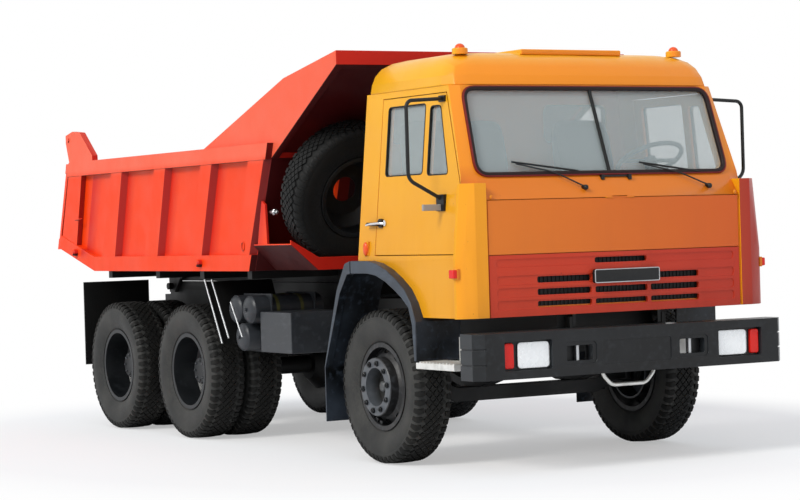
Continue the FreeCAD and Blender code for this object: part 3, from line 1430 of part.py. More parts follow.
def make_bed():
    """Make the bed: floor, front wall, visor and side plates from one profile less its hollow."""
    outline = [
        (size.bed_front_low, size.bed_low),
        (size.bed_front_high, size.visor_start),
        (size.visor_end, size.visor_end_low),
        (size.visor_end, size.visor_top),
        (size.cheek_kink, size.cheek_kink_height),
        (size.cheek_rear, size.rail_top),
        (size.side_rear_top, size.rail_top),
        (size.tail_tip, size.bed_low + size.tail_rise + size.sill_height),
        (size.tail_tip, size.bed_low + size.tail_rise),
        (size.tail_kink, size.bed_low),
    ]
    wall = size.bed_wall
    hollow = [
        (size.bed_front_low + wall, FLOOR_TOP),
        (size.bed_front_high + wall + 4, size.visor_start + wall + size.visor_recess),
        (size.visor_end + wall, size.visor_end_low + wall + size.visor_recess),
        (size.visor_end + wall, size.visor_top + 100),
        (size.tail_tip + 200, size.visor_top + 100),
        (size.tail_tip + 200, FLOOR_TOP + size.tail_rise + 52),
        (size.tail_kink, FLOOR_TOP),
    ]
    half = size.panel_half
    body = side_plate("bed_body", outline, (-half, half))
    room = side_plate("bed_room", hollow, (wall - half, half - wall))
    slope = (size.visor_end_low - size.visor_start) / (size.bed_front_high - size.visor_end)
    brim = size.visor_end + size.visor_brim
    under = side_plate("visor_under", [
        (size.bed_front_high - 30, size.visor_start - 60), (size.bed_front_high, size.visor_start + size.visor_recess),
        (brim, size.visor_end_low + size.visor_recess - slope * size.visor_brim), (brim, size.visor_end_low - 60),
        ], (60 - half, half - 60))
    keep(cut("bed_shell", body, [room, under]))

    depth_in = size.panel_half
    depth_out = size.bed_half
    sill = side_plate("sill", [
        (size.bed_front_low, size.bed_low), (size.bed_front_low - 45, size.bed_low + size.sill_height),
        (size.tail_kink, size.bed_low + size.sill_height),
        (size.tail_tip, size.bed_low + size.tail_rise + size.sill_height),
        (size.tail_tip, size.bed_low + size.tail_rise), (size.tail_kink, size.bed_low)], (depth_in, depth_out))
    rail = side_plate("rail", [
        (size.bed_front_high, size.rail_low), (size.bed_front_high - 40, size.rail_top),
        (size.side_rear_top, size.rail_top), (size.side_rear_top + 40, size.rail_low)], (depth_in, depth_out))
    ribs = []
    spans = [(1610, 1300, 1830, 1665), (2400, 2145, 2640, 2450), (3190, 2960, 3505, 3283), (4010, 3786, 4345, 4115)]
    rib_out = size.panel_half + size.rib_depth
    rib_low = size.bed_low + size.sill_height - 1
    rib_high = size.rail_low + 1
    flank = size.rib_flank
    for number, (low_front, high_front, low_rear, high_rear) in enumerate(spans):
        ribs.append(tapered_plate(
            f"rib_{number}",
            [(low_front, rib_low), (high_front + 40, rib_high), (high_rear, rib_high), (low_rear, rib_low)],
            [(low_front + flank, rib_low), (high_front + 40 + flank, rib_high), (high_rear - flank, rib_high),
             (low_rear - flank, rib_low)], (depth_in, rib_out)))
    ribs.append(side_plate("rib_tail", [
        (4846, size.bed_low + 165), (4690, size.rail_low + 1), (4970, size.rail_low + 1),
        (5150, size.bed_low + 255)], (depth_in, rib_out)))
    ear = side_plate("gate_ear", [
        (4441, size.rail_top - 20), (4441, size.rail_top + 40), (4690, 2440), (4845, 2455), (4993, 2426),
        (4993, 2360), (4925, size.rail_top - 20)], (size.panel_half, size.bed_half))
    hole = rod("gate_pin_hole", "X", (size.panel_half - 20, at(size.gate_pivot_station), size.gate_pivot_height), 90,
               size.gate_pin_radius + size.fit_gap)
    frame = cut("side_frame", fuse("side_frame_solid", [sill, rail] + ribs + [ear]), [hole])
    keep(both_sides("bed_side_frames", frame))


def make_bed_underframe():
    """Make the beams that carry the bed, its tipping lugs and the hoist clevis."""
    low = SUBFRAME_TOP + size.running_gap
    y = (at(size.bed_front_low + 60), at(4560))
    x = (FRAME_HALF - 75, FRAME_HALF)
    beams = [box("bed_beam_left", x, y, (low, size.bed_low)),
             box("bed_beam_right", (-FRAME_HALF, 75 - FRAME_HALF), y, (low, size.bed_low))]
    crosses = [box(f"bed_cross_{number}", (-1150, 1150), (at(station), at(station + 70)),
                   (size.bed_low - 60, size.bed_low)) for number, station in
               enumerate((1800, 2600, 3400, 4330))]
    pivot_y = size.tip_pivot_station
    lug_x = FRAME_HALF + size.running_gap
    lugs = []
    for side, x in (("left", lug_x), ("right", -lug_x - 30)):
        lugs.append(side_plate(f"tip_lug_{side}", [
            (pivot_y - 255, size.bed_low), (pivot_y - 50, size.tip_pivot_height - 50),
            (pivot_y + 50, size.tip_pivot_height - 50), (pivot_y + 60, size.bed_low)], (x, x + 30)))
    cross = box("lug_cross", (-lug_x - 30, lug_x + 30), (at(pivot_y - 200), at(pivot_y - 110)),
                (low + 20, size.bed_low))
    eye = size.hoist_eye_height
    y = (at(HOIST_EYE_STATION - 50), at(HOIST_EYE_STATION + 50))
    clevis = [box("clevis_left", (40, 56), y, (eye - 35, size.bed_low)),
              box("clevis_right", (-56, -40), y, (eye - 35, size.bed_low)),
              rod("clevis_pin", "X", (-60, at(HOIST_EYE_STATION), eye), 120, size.hoist_pin_radius),
              box("clevis_cross", (-FRAME_HALF, FRAME_HALF), (at(HOIST_EYE_STATION - 90), at(HOIST_EYE_STATION + 90)),
                  (size.bed_low - 20, size.bed_low))]
    hole = rod("tip_pin_hole", "X", (-600, at(pivot_y), size.tip_pivot_height), 1200, size.tip_pin_radius + size.fit_gap)
    keep(fuse("bed_underframe", [cut("underframe_bored", fuse("underframe_solid", beams + crosses + lugs + [cross]),
                                     [hole])] + clevis))


def make_spare():
    """Make the spare wheel's cradle on the bed front and the leaning wheel in it."""
    middle = size.spare_offset
    lip = (at(1006), at(1018))
    sheet_points = [
        (middle - 512, 1504), (middle - 290, 1377), (middle + 290, 1377), (middle + 512, 1504),
        (middle + 512, 1468), (middle + 300, size.bed_low), (middle - 300, size.bed_low), (middle - 512, 1468)]
    front = front_plate("cradle_lip", sheet_points, lip)
    tray = front_plate("cradle_tray", [
        (middle - 512, 1480), (middle - 300, size.bed_low + 10), (middle + 300, size.bed_low + 10),
        (middle + 512, 1480), (middle + 512, 1468), (middle + 300, size.bed_low), (middle - 300, size.bed_low),
        (middle - 512, 1468)], (at(1006), at(1640)))
    wall_cut = side_plate("cradle_trim", [
        (size.bed_front_low, size.bed_low - 50), (size.bed_front_low, size.bed_low),
        (size.bed_front_high, size.visor_start), (2200, size.visor_start), (2200, size.bed_low - 50)], (-1400, 400))
    bracket = side_plate("clamp_plate", [
        (1380, 1474), (1400, 1760), (1452, 1790), (1500, 1600), (1530, 1474)], (-1235, -1215))
    post = side_plate("carrier_post", [
        (1183, 1734), (1102.6, 1981.2), (1380, 2010), (1490, 1700)], (middle - 45, middle + 45))
    keep(fuse("spare_cradle", [front, cut("cradle_fitted", tray, [wall_cut]), bracket,
                               cut("post_fitted", post, [wall_cut])]))
    lean = FreeCAD.Placement(
        Vector(size.spare_offset.value, at(size.spare_station).value, size.spare_height.value),
        FreeCAD.Rotation(Vector(1, 0, 0), size.spare_lean.value) * FreeCAD.Rotation(Vector(0, 0, 1), -90))
    tyre = make_tyre("spare_tyre", as_length(0), (0, 0, 0))
    for axis, length in zip("xyz", (size.spare_offset, at(size.spare_station), size.spare_height)):
        bind(tyre, f"Placement.Base.{axis}", length)
    tyre.Placement.Rotation = lean.Rotation
    keep(tyre)
    rim = fuse("spare_rim", [
        turned("spare_barrel", barrel_profile(as_length(0)), (0, 0, 0)),
        turned("spare_disc", disc_profile(as_length(-40), as_length(-118), -1), (0, 0, 0)),
    ])
    for axis, length in zip("xyz", (size.spare_offset, at(size.spare_station), size.spare_height)):
        bind(rim, f"Placement.Base.{axis}", length)
    rim.Placement.Rotation = lean.Rotation
    keep(rim)


def make_tailgate():
    """Make the tailgate, a ribbed plate hung from arms at its top corners."""
    gap = size.running_gap
    tail_low = size.bed_low + size.tail_rise
    knee = tail_low + size.sill_height + 2
    plate = side_plate("gate_plate", [
        (size.tail_tip + gap, tail_low), (size.tail_tip + gap, knee), (size.side_rear_top + 12, size.rail_top - 10),
        (size.side_rear_top + 24, size.rail_top - 10), (size.tail_tip + gap + 10, knee + 2),
        (size.tail_tip + gap + 10, tail_low)],
        (-size.bed_half + 10, size.bed_half - 10))
    frame_top = side_plate("gate_top", [
        (size.side_rear_top + 18, size.rail_top - 10), (size.side_rear_top + 80, size.rail_top - 10),
        (size.side_rear_top + 105, size.rail_top - 90), (size.side_rear_top + 46, size.rail_top - 90)],
        (-size.bed_half + 10, size.bed_half - 10))
    frame_low = side_plate("gate_low", [
        (size.tail_tip + gap + 4, tail_low + 90), (size.tail_tip + size.gate_depth - 30, tail_low + 90),
        (size.tail_tip + size.gate_depth, tail_low), (size.tail_tip + gap + 4, tail_low)],
        (-size.bed_half + 10, size.bed_half - 10))
    ribs = [side_plate(f"gate_rib_{number}", [
        (size.tail_tip + gap + 6, tail_low + 88), (size.tail_tip + gap + 6, knee),
        (size.side_rear_top + 48, size.rail_top - 88),
        (size.side_rear_top + 100, size.rail_top - 88), (size.tail_tip + size.gate_depth - 30, tail_low + 88)],
        (x, x + 110)) for number, x in enumerate((-1235, -640, -55, 530, 1125))]
    arms = []
    for side, x in (("left", size.panel_half - gap - 26), ("right", gap - size.panel_half)):
        arms.append(side_plate(f"gate_arm_{side}", [
            (size.gate_pivot_station - 35, size.gate_pivot_height + 30),
            (size.gate_pivot_station + 35, size.gate_pivot_height + 30),
            (size.side_rear_top + 80, size.rail_top - 20), (size.side_rear_top + 14, size.rail_top - 20),
        ], (x, x + 26)))
    pin_in = size.panel_half - gap - 10
    pin_out = size.bed_half + 8
    pins = [rod("gate_pin_left", "X", (pin_in, at(size.gate_pivot_station), size.gate_pivot_height),
                pin_out - pin_in, size.gate_pin_radius),
            rod("gate_pin_right", "X", (-pin_out, at(size.gate_pivot_station), size.gate_pivot_height),
                pin_out - pin_in, size.gate_pin_radius)]
    keep(fuse("tailgate", [plate, frame_top, frame_low] + ribs + arms + pins))


def make_hoist():
    """Make the telescopic hoist upright about its trunnion, and lean each piece towards the bed's clevis."""
    run = size.hoist_station - HOIST_EYE_STATION
    rise = size.hoist_eye_height - size.hoist_pivot_height
    eye = root(run * run + rise * rise)
    lean = FreeCAD.Rotation(Vector(1, 0, 0), math.degrees(math.atan2(run.value, rise.value)))

    def leant(piece):
        """Stand a piece on the trunnion's axis, turned towards the clevis."""
        place(piece, 0, at(size.hoist_station), size.hoist_pivot_height)
        piece.Placement.Rotation = lean
        return keep(piece)

    low = -size.hoist_tail
    high = eye - size.hoist_shoulder
    step = size.hoist_wall + size.fit_gap
    start = low + size.hoist_base + 1
    barrel = cut("barrel_tube", rod("barrel_outer", "Z", (0, 0, low), high - low - 5, size.hoist_radius),
                 [rod("barrel_bore", "Z", (0, 0, low + size.hoist_base), high - low, size.hoist_radius - size.hoist_wall)])
    reach = FRAME_HALF - 44
    trunnion = cut("trunnion_bored", rod("trunnion", "X", (-reach, 0, 0), 2 * reach, size.hoist_trunnion_radius),
                   [rod("trunnion_bore", "Z", (0, 0, low), high - low, size.hoist_radius - 2)])
    leant(fuse("hoist_barrel", [barrel, trunnion]))
    for stage in range(1, 4):
        outer = size.hoist_radius - stage * step
        leant(cut(f"hoist_stage_{stage}", rod(f"stage_{stage}_outer", "Z", (0, 0, start), high - start, outer),
                  [rod(f"stage_{stage}_bore", "Z", (0, 0, 2 * low), 2 * (high - low), outer - size.hoist_wall)]))
    seat = size.hoist_pin_radius + size.fit_gap
    ram = fuse("ram", [
        rod("ram_tube", "Z", (0, 0, start), high - start, size.hoist_radius - 4 * step),
        rod("ram_neck", "Z", (0, 0, high - 5), eye - high + 5, 26),
        rod("ram_eye", "X", (-32, 0, eye), 64, size.hoist_eye_radius)])
    leant(cut("hoist_stage_4", ram, [
        rod("ram_eye_seat", "X", (-60, 0, eye), 120, seat),
        box("ram_eye_mouth", (-60, 60), (-seat, seat), (eye, eye + 2 * size.hoist_eye_radius))]))


make_front_wheel()
make_rear_wheels()
make_front_axle()
make_driveline()
make_frame()
make_springs()
make_bumper(make_frame_equipment())
make_cab_shell()
make_doors()
deflector_form = make_front_panels()
make_screens()
make_cab_interior()
make_cab_trim(make_roof(), deflector_form)
make_bed()
make_bed_underframe()
make_spare()
make_tailgate()
make_hoist()
doc.recompute()
for thing in doc.Objects:
    if "Invalid" in thing.State or "Error" in thing.State:
        raise RuntimeError(f"{thing.Name} did not build: {thing.State}")
for piece in pieces:
    shape = piece.Shape
    if shape.isNull() or not shape.isValid() or not shape.Solids or shape.Volume <= 0:
        raise RuntimeError(f"{piece.Label} is not a sound solid")
os.makedirs("parts", exist_ok=True)
for piece in pieces:
    piece.Shape.exportStep(f"parts/{piece.Label}.step")
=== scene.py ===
"""Looks for a three-axle tipper lorry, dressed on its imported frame.

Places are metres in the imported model's frame: X is the lorry's left, minus Y is forward and Z is up.
"""
from __future__ import annotations

import json
import logging
import math
from dataclasses import dataclass
from enum import Enum

import bmesh
import bpy
import numpy as np
from mathutils import Matrix

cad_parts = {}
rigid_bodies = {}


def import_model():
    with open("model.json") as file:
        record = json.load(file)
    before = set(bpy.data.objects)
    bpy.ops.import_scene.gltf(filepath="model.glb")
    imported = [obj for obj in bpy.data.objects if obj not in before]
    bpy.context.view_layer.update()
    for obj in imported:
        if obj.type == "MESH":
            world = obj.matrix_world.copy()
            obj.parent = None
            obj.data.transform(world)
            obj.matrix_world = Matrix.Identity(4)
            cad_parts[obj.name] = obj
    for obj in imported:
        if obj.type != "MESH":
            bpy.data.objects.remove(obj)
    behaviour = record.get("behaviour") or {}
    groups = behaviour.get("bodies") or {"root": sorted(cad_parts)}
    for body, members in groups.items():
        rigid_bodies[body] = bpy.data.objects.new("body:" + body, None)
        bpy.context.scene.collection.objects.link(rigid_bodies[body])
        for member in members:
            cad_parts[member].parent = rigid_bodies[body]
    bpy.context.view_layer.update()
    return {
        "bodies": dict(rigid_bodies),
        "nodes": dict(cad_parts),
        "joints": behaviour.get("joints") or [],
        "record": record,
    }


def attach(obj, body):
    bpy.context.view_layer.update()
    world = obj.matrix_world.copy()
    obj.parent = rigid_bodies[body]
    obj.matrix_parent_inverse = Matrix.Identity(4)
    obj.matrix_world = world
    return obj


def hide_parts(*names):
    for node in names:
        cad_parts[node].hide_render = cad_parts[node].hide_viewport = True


LOG = logging.getLogger("tipper")
FRONT_AXLE_Y = -1.9615
AXLE_HEIGHT = 0.515
REAR_AXLES = (("middle", 2.840), ("rear", 4.160))
SIDES = (("left", 1), ("right", -1))


def at(station: float) -> float:
    """Return the Y place of a station, a distance in metres behind the front axle."""
    return FRONT_AXLE_Y + station


def linear(code: str) -> tuple[float, float, float, float]:
    """Turn an sRGB hex colour into linear light.

    Args:
        code: six hex digits, with or without a leading hash.

    Returns:
        Linear red, green and blue, with an alpha of 1.
    """
    digits = code.lstrip("#")
    parts = [int(digits[i:i + 2], 16) / 255 for i in (0, 2, 4)]
    light = [p / 12.92 if p <= 0.04045 else ((p + 0.055) / 1.055) ** 2.4 for p in parts]
    return (light[0], light[1], light[2], 1.0)


# Materials


class Nodes:
    """A node tree while it is put together."""

    def __init__(self, tree: bpy.types.NodeTree) -> None:
        """Start with an empty tree.

        Args:
            tree: the node tree of a material or a world.
        """
        self.tree = tree
        self.tree.nodes.clear()

    def add(self, kind: str, inputs: dict | None = None, **settings: object) -> bpy.types.Node:
        """Add a node, set its properties and fill or link its sockets.

        Args:
            kind: the shader node's type name, without the two words that all of them start with.
            inputs: socket name or number to a value, to another node's output, or to a node for its first output.
            **settings: properties of the node.

        Returns:
            The new node.
        """
        node = self.tree.nodes.new(f"ShaderNode{kind}")
        for key, value in settings.items():
            setattr(node, key, value)
        for key, value in (inputs or {}).items():
            if isinstance(value, bpy.types.Node):
                value = value.outputs[0]
            if isinstance(value, bpy.types.NodeSocket):
                self.tree.links.new(value, node.inputs[key])
            else:
                node.inputs[key].default_value = value
        return node


class Sketch(Nodes):
    """A material's node tree, whose patterns read object coordinates."""

    def __init__(self, name: str) -> None:
        """Start an empty material.

        Args:
            name: the material's name.
        """
        self.material = bpy.data.materials.new(name)
        self.material.use_nodes = True
        super().__init__(self.material.node_tree)
        self.place = self.add("TexCoord").outputs["Object"]

    def coats(self, base: object, layers: list[tuple[object, object]]) -> object:
        """Lay colours over a base one after another.

        Args:
            base: a hex colour or a colour socket.
            layers: pairs of how much a coat covers, from 0 to 1, and its hex colour or colour socket.

        Returns:
            The colour on top.
        """
        under = linear(base) if isinstance(base, str) else base
        for share, coat in layers:
            over = linear(coat) if isinstance(coat, str) else coat
            under = self.add("Mix", {0: share, 6: under, 7: over}, data_type="RGBA").outputs[2]
        return under

    def finish(self, shader: bpy.types.Node) -> bpy.types.Material:
        """Link the shader to the output and return the material."""
        self.add("OutputMaterial", {0: shader})
        return self.material


@dataclass(frozen=True)
class Paint:
    """Sprayed enamel: a smooth coat with a faint orange peel, random paler blotches, road dust low down and small
    chips, plus painted light: a painted highlight that grows paler with height, painted shade on forward and downward
    faces and below a set height, and a painted shadow ahead of the bed's ribs.
    """

    name: str
    colour: str
    # This colour is a painted highlight that grows with height, and also random paler blotches of tone.
    highlight_and_blotch: str
    # These three colours are painted shade on faces that face forward. It changes towards plus X, away from the key
    # light, and low down.
    front: str = ""
    far_front_shade: str = ""
    low_front_shade: str = ""
    # This colour is painted shade on faces that face downward.
    below: str = ""
    roughness: float = 0.32
    coat: float = 0.35
    dust: str = "8C6A4A"
    dust_low: float = 0.9
    dust_high: float = 1.9
    dust_share: float = 0.25
    # These two heights bound the painted highlight on upper surfaces.
    highlight_low: float = 1.0
    highlight_high: float = 3.0
    chip: str = "4A2A1C"
    chips: float = 0.6
    # This colour is painted shade, near black, below the height after it.
    low_shade_colour: str = "0A0A0B"
    under: float = 0.0
    # The ribs, their height span and the colour after them paint a shadow ahead of each bed rib.
    ribs: tuple[tuple[float, float], ...] = ()
    rib_span: tuple[float, float] = (0.0, 1.0)
    rib_shadow_colour: str = "C8160C"

    def rib_shade(self, s: Sketch, along: bpy.types.NodeSocket, height: bpy.types.NodeSocket) -> bpy.types.Node:
        """Return how much painted shadow beside the leaning ribs a place holds.

        A rib's front edge runs straight from its foot to its top, and the painted shadow fades over 0.16 m ahead of it.

        Args:
            s: the material's node tree.
            along: the place along Y.
            height: the place along Z.

        Returns:
            The share, from 0 to 1.
        """
        low, high = self.rib_span
        rise = s.add("MapRange", {0: height, 1: low, 2: high})
        total: object = 0.0
        for foot, top in self.ribs:
            edge = s.add("Math", {0: rise, 1: top - foot, 2: foot}, operation="MULTIPLY_ADD")
            ahead = s.add("Math", {0: edge, 1: along}, operation="SUBTRACT")
            near = s.add("MapRange", {0: ahead, 1: 0.0, 2: 0.16, 3: 0.85, 4: 0.0})
            past = s.add("MapRange", {0: ahead, 1: -0.05, 2: -0.03})
            near = s.add("Math", {0: near, 1: past}, operation="MULTIPLY")
            total = s.add("Math", {0: total, 1: near}, operation="MAXIMUM")
        above = s.add("MapRange", {0: height, 1: low - 0.02, 2: low + 0.03})
        beneath = s.add("MapRange", {0: height, 1: high + 0.02, 2: high - 0.02})
        level = s.add("Math", {0: above, 1: beneath}, operation="MULTIPLY")
        return s.add("Math", {0: total, 1: level}, operation="MULTIPLY")

    def build(self) -> bpy.types.Material:
        """Return the material.

        Returns:
            The material.
        """
        s = Sketch(self.name)
        across, along, height = s.add("SeparateXYZ", {0: s.place}).outputs
        aim = s.add("SeparateXYZ", {0: s.add("NewGeometry").outputs["Normal"]}).outputs
        # Painted highlight: surfaces turn paler with height, and random blotches of paler tone add to it.
        rise = s.add("MapRange", {0: height, 1: self.highlight_low, 2: self.highlight_high, 4: 0.8})
        blotch = s.add("TexNoise", {"Vector": s.place, "Scale": 1.7, "Detail": 4.0})
        blotch = s.add("MapRange", {0: blotch, 1: 0.35, 2: 0.75, 3: -0.10, 4: 0.14})
        layers: list = [(s.add("Math", {0: rise, 1: blotch}, operation="ADD", use_clamp=True), self.highlight_and_blotch)]
        # Painted shadow ahead of each of the bed's ribs.
        if self.ribs:
            layers.append((self.rib_shade(s, along, height), self.rib_shadow_colour))
        # Painted shade: faces that face forward take a darker, redder colour, which changes towards plus X and low
        # down.
        if self.front:
            front_shade_tints: list = []
            if self.far_front_shade:
                front_shade_tints.append((s.add("MapRange", {0: across, 1: -1.0, 2: 1.1}), self.far_front_shade))
            if self.low_front_shade:
                front_shade_tints.append((s.add("MapRange", {0: height, 1: 1.95, 2: 1.84}), self.low_front_shade))
            layers.append((s.add("MapRange", {0: aim[1], 1: -0.2, 2: -0.8}), s.coats(self.front, front_shade_tints)))
        # Painted shade: faces that face downward turn dark.
        if self.below:
            layers.append((s.add("MapRange", {0: aim[2], 1: -0.12, 2: -0.35}), self.below))
        low = s.add("MapRange", {0: height, 1: self.dust_high, 2: self.dust_low, 3: 0.18, 4: 0.88})
        runs = s.add("Mapping", {"Vector": s.place, "Scale": (1, 1, 0.12)})
        streak = s.add("TexNoise", {"Vector": runs, "Scale": 9.0, "Detail": 5.0})
        streak = s.add("MapRange", {0: streak, 1: 0.45, 2: 0.8, 3: 0.35 * self.dust_share, 4: 1.35 * self.dust_share})
        dust = s.add("Math", {0: low, 1: streak}, operation="MULTIPLY")
        speck = s.add("TexNoise", {"Vector": s.place, "Scale": 55.0, "Detail": 2.0})
        layers += [(dust, self.dust), (s.add("MapRange", {0: speck, 1: 0.755, 2: 0.79, 4: self.chips}), self.chip)]
        # Painted shade: below a set height the paint turns near black.
        if self.under > 0:
            layers.append((s.add("MapRange", {0: height, 1: self.under, 2: self.under - 0.006}), self.low_shade_colour))
        sheen = s.add("TexNoise", {"Vector": s.place, "Scale": 6.0, "Detail": 3.0})
        sheen = s.add("MapRange", {0: sheen, 1: 0.3, 2: 0.7, 3: self.roughness - 0.05, 4: self.roughness + 0.08})
        fine = s.add("TexNoise", {"Vector": s.place, "Scale": 260.0, "Detail": 1.0})
        wave = s.add("TexNoise", {"Vector": s.place, "Scale": 4.5, "Detail": 2.0})
        peel = s.add("Math", {0: wave, 1: 6.0, 2: fine}, operation="MULTIPLY_ADD")
        return s.finish(s.add("BsdfPrincipled", {
            "Base Color": s.coats(self.colour, layers), "Coat Weight": self.coat, "Coat Roughness": 0.12,
            "Roughness": s.add("Math", {0: dust, 1: 0.7, 2: sheen}, operation="MULTIPLY_ADD"),
            "Specular IOR Level": 0.25,
            "Normal": s.add("Bump", {"Height": peel, "Strength": 0.08, "Distance": 0.004})}))


@dataclass(frozen=True)
class Rubber:
    """Moulded rubber: it reads dull, with a fine grain and pale dust in its hollows."""

    name: str
    colour: str
    dust: str
    dust_share: float
    roughness: float

    def build(self) -> bpy.types.Material:
        """Return the material.

        Returns:
            The material.
        """
        s = Sketch(self.name)
        patch = s.add("TexNoise", {"Vector": s.place, "Scale": 5.0, "Detail": 5.0})
        patch = s.add("MapRange", {0: patch, 1: 0.35, 2: 0.75, 4: 0.6 * self.dust_share})
        speck = s.add("TexNoise", {"Vector": s.place, "Scale": 60.0, "Detail": 4.0})
        speck = s.add("MapRange", {0: speck, 1: 0.4, 2: 0.7})
        share = s.add("Math", {0: speck, 1: 0.4 * self.dust_share, 2: patch}, operation="MULTIPLY_ADD")
        grain = s.add("TexNoise", {"Vector": s.place, "Scale": 180.0, "Detail": 3.0})
        return s.finish(s.add("BsdfPrincipled", {
            "Base Color": s.coats(self.colour, [(share, self.dust)]), "Specular IOR Level": 0.25,
            "Roughness": s.add("MapRange", {0: speck, 3: self.roughness - 0.08, 4: self.roughness + 0.12}),
            "Normal": s.add("Bump", {"Height": grain, "Strength": 0.25, "Distance": 0.002})}))


@dataclass(frozen=True)
class Plastic:
    """Moulded plastic or primed steel: it reads satin, with a fine grain and paler scuffs, and can take painted shade
    on faces that face forward.
    """

    name: str
    colour: str
    scuff: str
    roughness: float = 0.5
    grain: float = 320.0
    depth: float = 0.12
    scuff_share: float = 0.35
    # This colour is painted shade on faces that face forward.
    front: str = ""

    def build(self) -> bpy.types.Material:
        """Return the material.

        Returns:
            The material.
        """
        s = Sketch(self.name)
        patch = s.add("TexNoise", {"Vector": s.place, "Scale": 3.2, "Detail": 5.0})
        patch = s.add("MapRange", {0: patch, 1: 0.4, 2: 0.75})
        drawn = s.add("Mapping", {"Vector": s.place, "Scale": (1, 0.3, 1)})
        mark = s.add("TexNoise", {"Vector": drawn, "Scale": 26.0, "Detail": 5.0})
        mark = s.add("MapRange", {0: mark, 1: 0.5, 2: 0.8})
        share = s.add("Math", {0: s.add("Math", {0: patch, 1: 0.7}, operation="MULTIPLY"), 1: mark},
                      operation="MAXIMUM")
        layers: list = [(s.add("Math", {0: share, 1: self.scuff_share}, operation="MULTIPLY"), self.scuff)]
        # Painted shade: faces that face forward take a darker colour.
        if self.front:
            aim = s.add("SeparateXYZ", {0: s.add("NewGeometry").outputs["Normal"]}).outputs[1]
            layers.insert(0, (s.add("MapRange", {0: aim, 1: -0.3, 2: -0.9}), self.front))
        grain = s.add("TexNoise", {"Vector": s.place, "Scale": self.grain, "Detail": 2.0})
        return s.finish(s.add("BsdfPrincipled", {
            "Base Color": s.coats(self.colour, layers), "Specular IOR Level": 0.35,
            "Roughness": s.add("MapRange", {0: patch, 3: self.roughness - 0.07, 4: self.roughness + 0.1}),
            "Normal": s.add("Bump", {"Height": grain, "Strength": self.depth, "Distance": 0.0015})}))


@dataclass(frozen=True)
class WheelPaint:
    """Wheel enamel, told apart by distance from the axle: a hollow, a hub ring rubbed paler, and the dish."""

    name: str
    axle_y: float
    axle_z: float = AXLE_HEIGHT
    inner: float = 0.124
    outer: float = 0.204
    cap: float = 0.038
    hollow: str = "191A17"
    ring: str = "4E5257"
    dish: str = "0E0F11"
    cap_colour: str = "4A4D4E"
    rubbed: str = "6E7177"
    mud: str = "3B3834"

    def build(self) -> bpy.types.Material:
        """Return the material.

        Returns:
            The material.
        """
        s = Sketch(self.name)
        place = s.add("VectorMath", {0: s.place, 1: (0.0, self.axle_y, self.axle_z)}, operation="SUBTRACT")
        flat = s.add("VectorMath", {0: place, 1: (0.0, 1.0, 1.0)}, operation="MULTIPLY")
        radius = s.add("VectorMath", {0: flat}, operation="LENGTH").outputs["Value"]
        aim = s.add("SeparateXYZ", {0: s.add("NewGeometry").outputs["Normal"]}).outputs[0]
        flank = s.add("MapRange", {0: s.add("Math", {0: aim}, operation="ABSOLUTE"), 1: 0.85, 2: 0.6})
        beyond = s.add("MapRange", {0: radius, 1: self.inner + 0.01, 2: self.inner + 0.02})
        wear = s.add("TexNoise", {"Vector": s.place, "Scale": 30.0, "Detail": 5.0})
        dirt = s.add("TexNoise", {"Vector": s.place, "Scale": 7.0, "Detail": 4.0})
        sheen = s.add("TexNoise", {"Vector": s.place, "Scale": 12.0, "Detail": 3.0})
        grain = s.add("TexNoise", {"Vector": s.place, "Scale": 140.0, "Detail": 2.0})
        colour = s.coats(self.hollow, [
            (s.add("MapRange", {0: radius, 1: self.inner - 0.004, 2: self.inner + 0.002}), self.ring),
            (s.add("MapRange", {0: radius, 1: self.outer - 0.005, 2: self.outer + 0.001}), self.dish),
            (s.add("Math", {0: flank, 1: beyond}, operation="MULTIPLY"), self.dish),
            (s.add("MapRange", {0: radius, 1: self.cap, 2: self.cap - 0.004}), self.cap_colour),
            (s.add("MapRange", {0: wear, 1: 0.5, 2: 0.75, 4: 0.22}), self.rubbed),
            (s.add("MapRange", {0: dirt, 1: 0.42, 2: 0.8, 4: 0.35}), self.mud)])
        return s.finish(s.add("BsdfPrincipled", {
            "Base Color": colour, "Roughness": s.add("MapRange", {0: sheen, 1: 0.3, 2: 0.7, 3: 0.34, 4: 0.52}),
            "Normal": s.add("Bump", {"Height": grain, "Strength": 0.1, "Distance": 0.0015})}))


@dataclass(frozen=True)
class Metal:
    """Bare, plated or brushed metal: it reads bright, with darker and duller grime."""

    name: str
    colour: str
    grime: str = "2A2723"
    roughness: float = 0.3
    metallic: float = 1.0
    grime_share: float = 0.3

    def build(self) -> bpy.types.Material:
        """Return the material.

        Returns:
            The material.
        """
        s = Sketch(self.name)
        patch = s.add("TexNoise", {"Vector": s.place, "Scale": 14.0, "Detail": 5.0})
        patch = s.add("MapRange", {0: patch, 1: 0.42, 2: 0.8})
        share = s.add("Math", {0: patch, 1: self.grime_share}, operation="MULTIPLY")
        grain = s.add("TexNoise", {"Vector": s.place, "Scale": 150.0, "Detail": 2.0})
        return s.finish(s.add("BsdfPrincipled", {
            "Base Color": s.coats(self.colour, [(share, self.grime)]), "Metallic": self.metallic,
            "Roughness": s.add("MapRange", {0: patch, 3: self.roughness - 0.06, 4: self.roughness + 0.22}),
            "Normal": s.add("Bump", {"Height": grain, "Strength": 0.1, "Distance": 0.001})}))


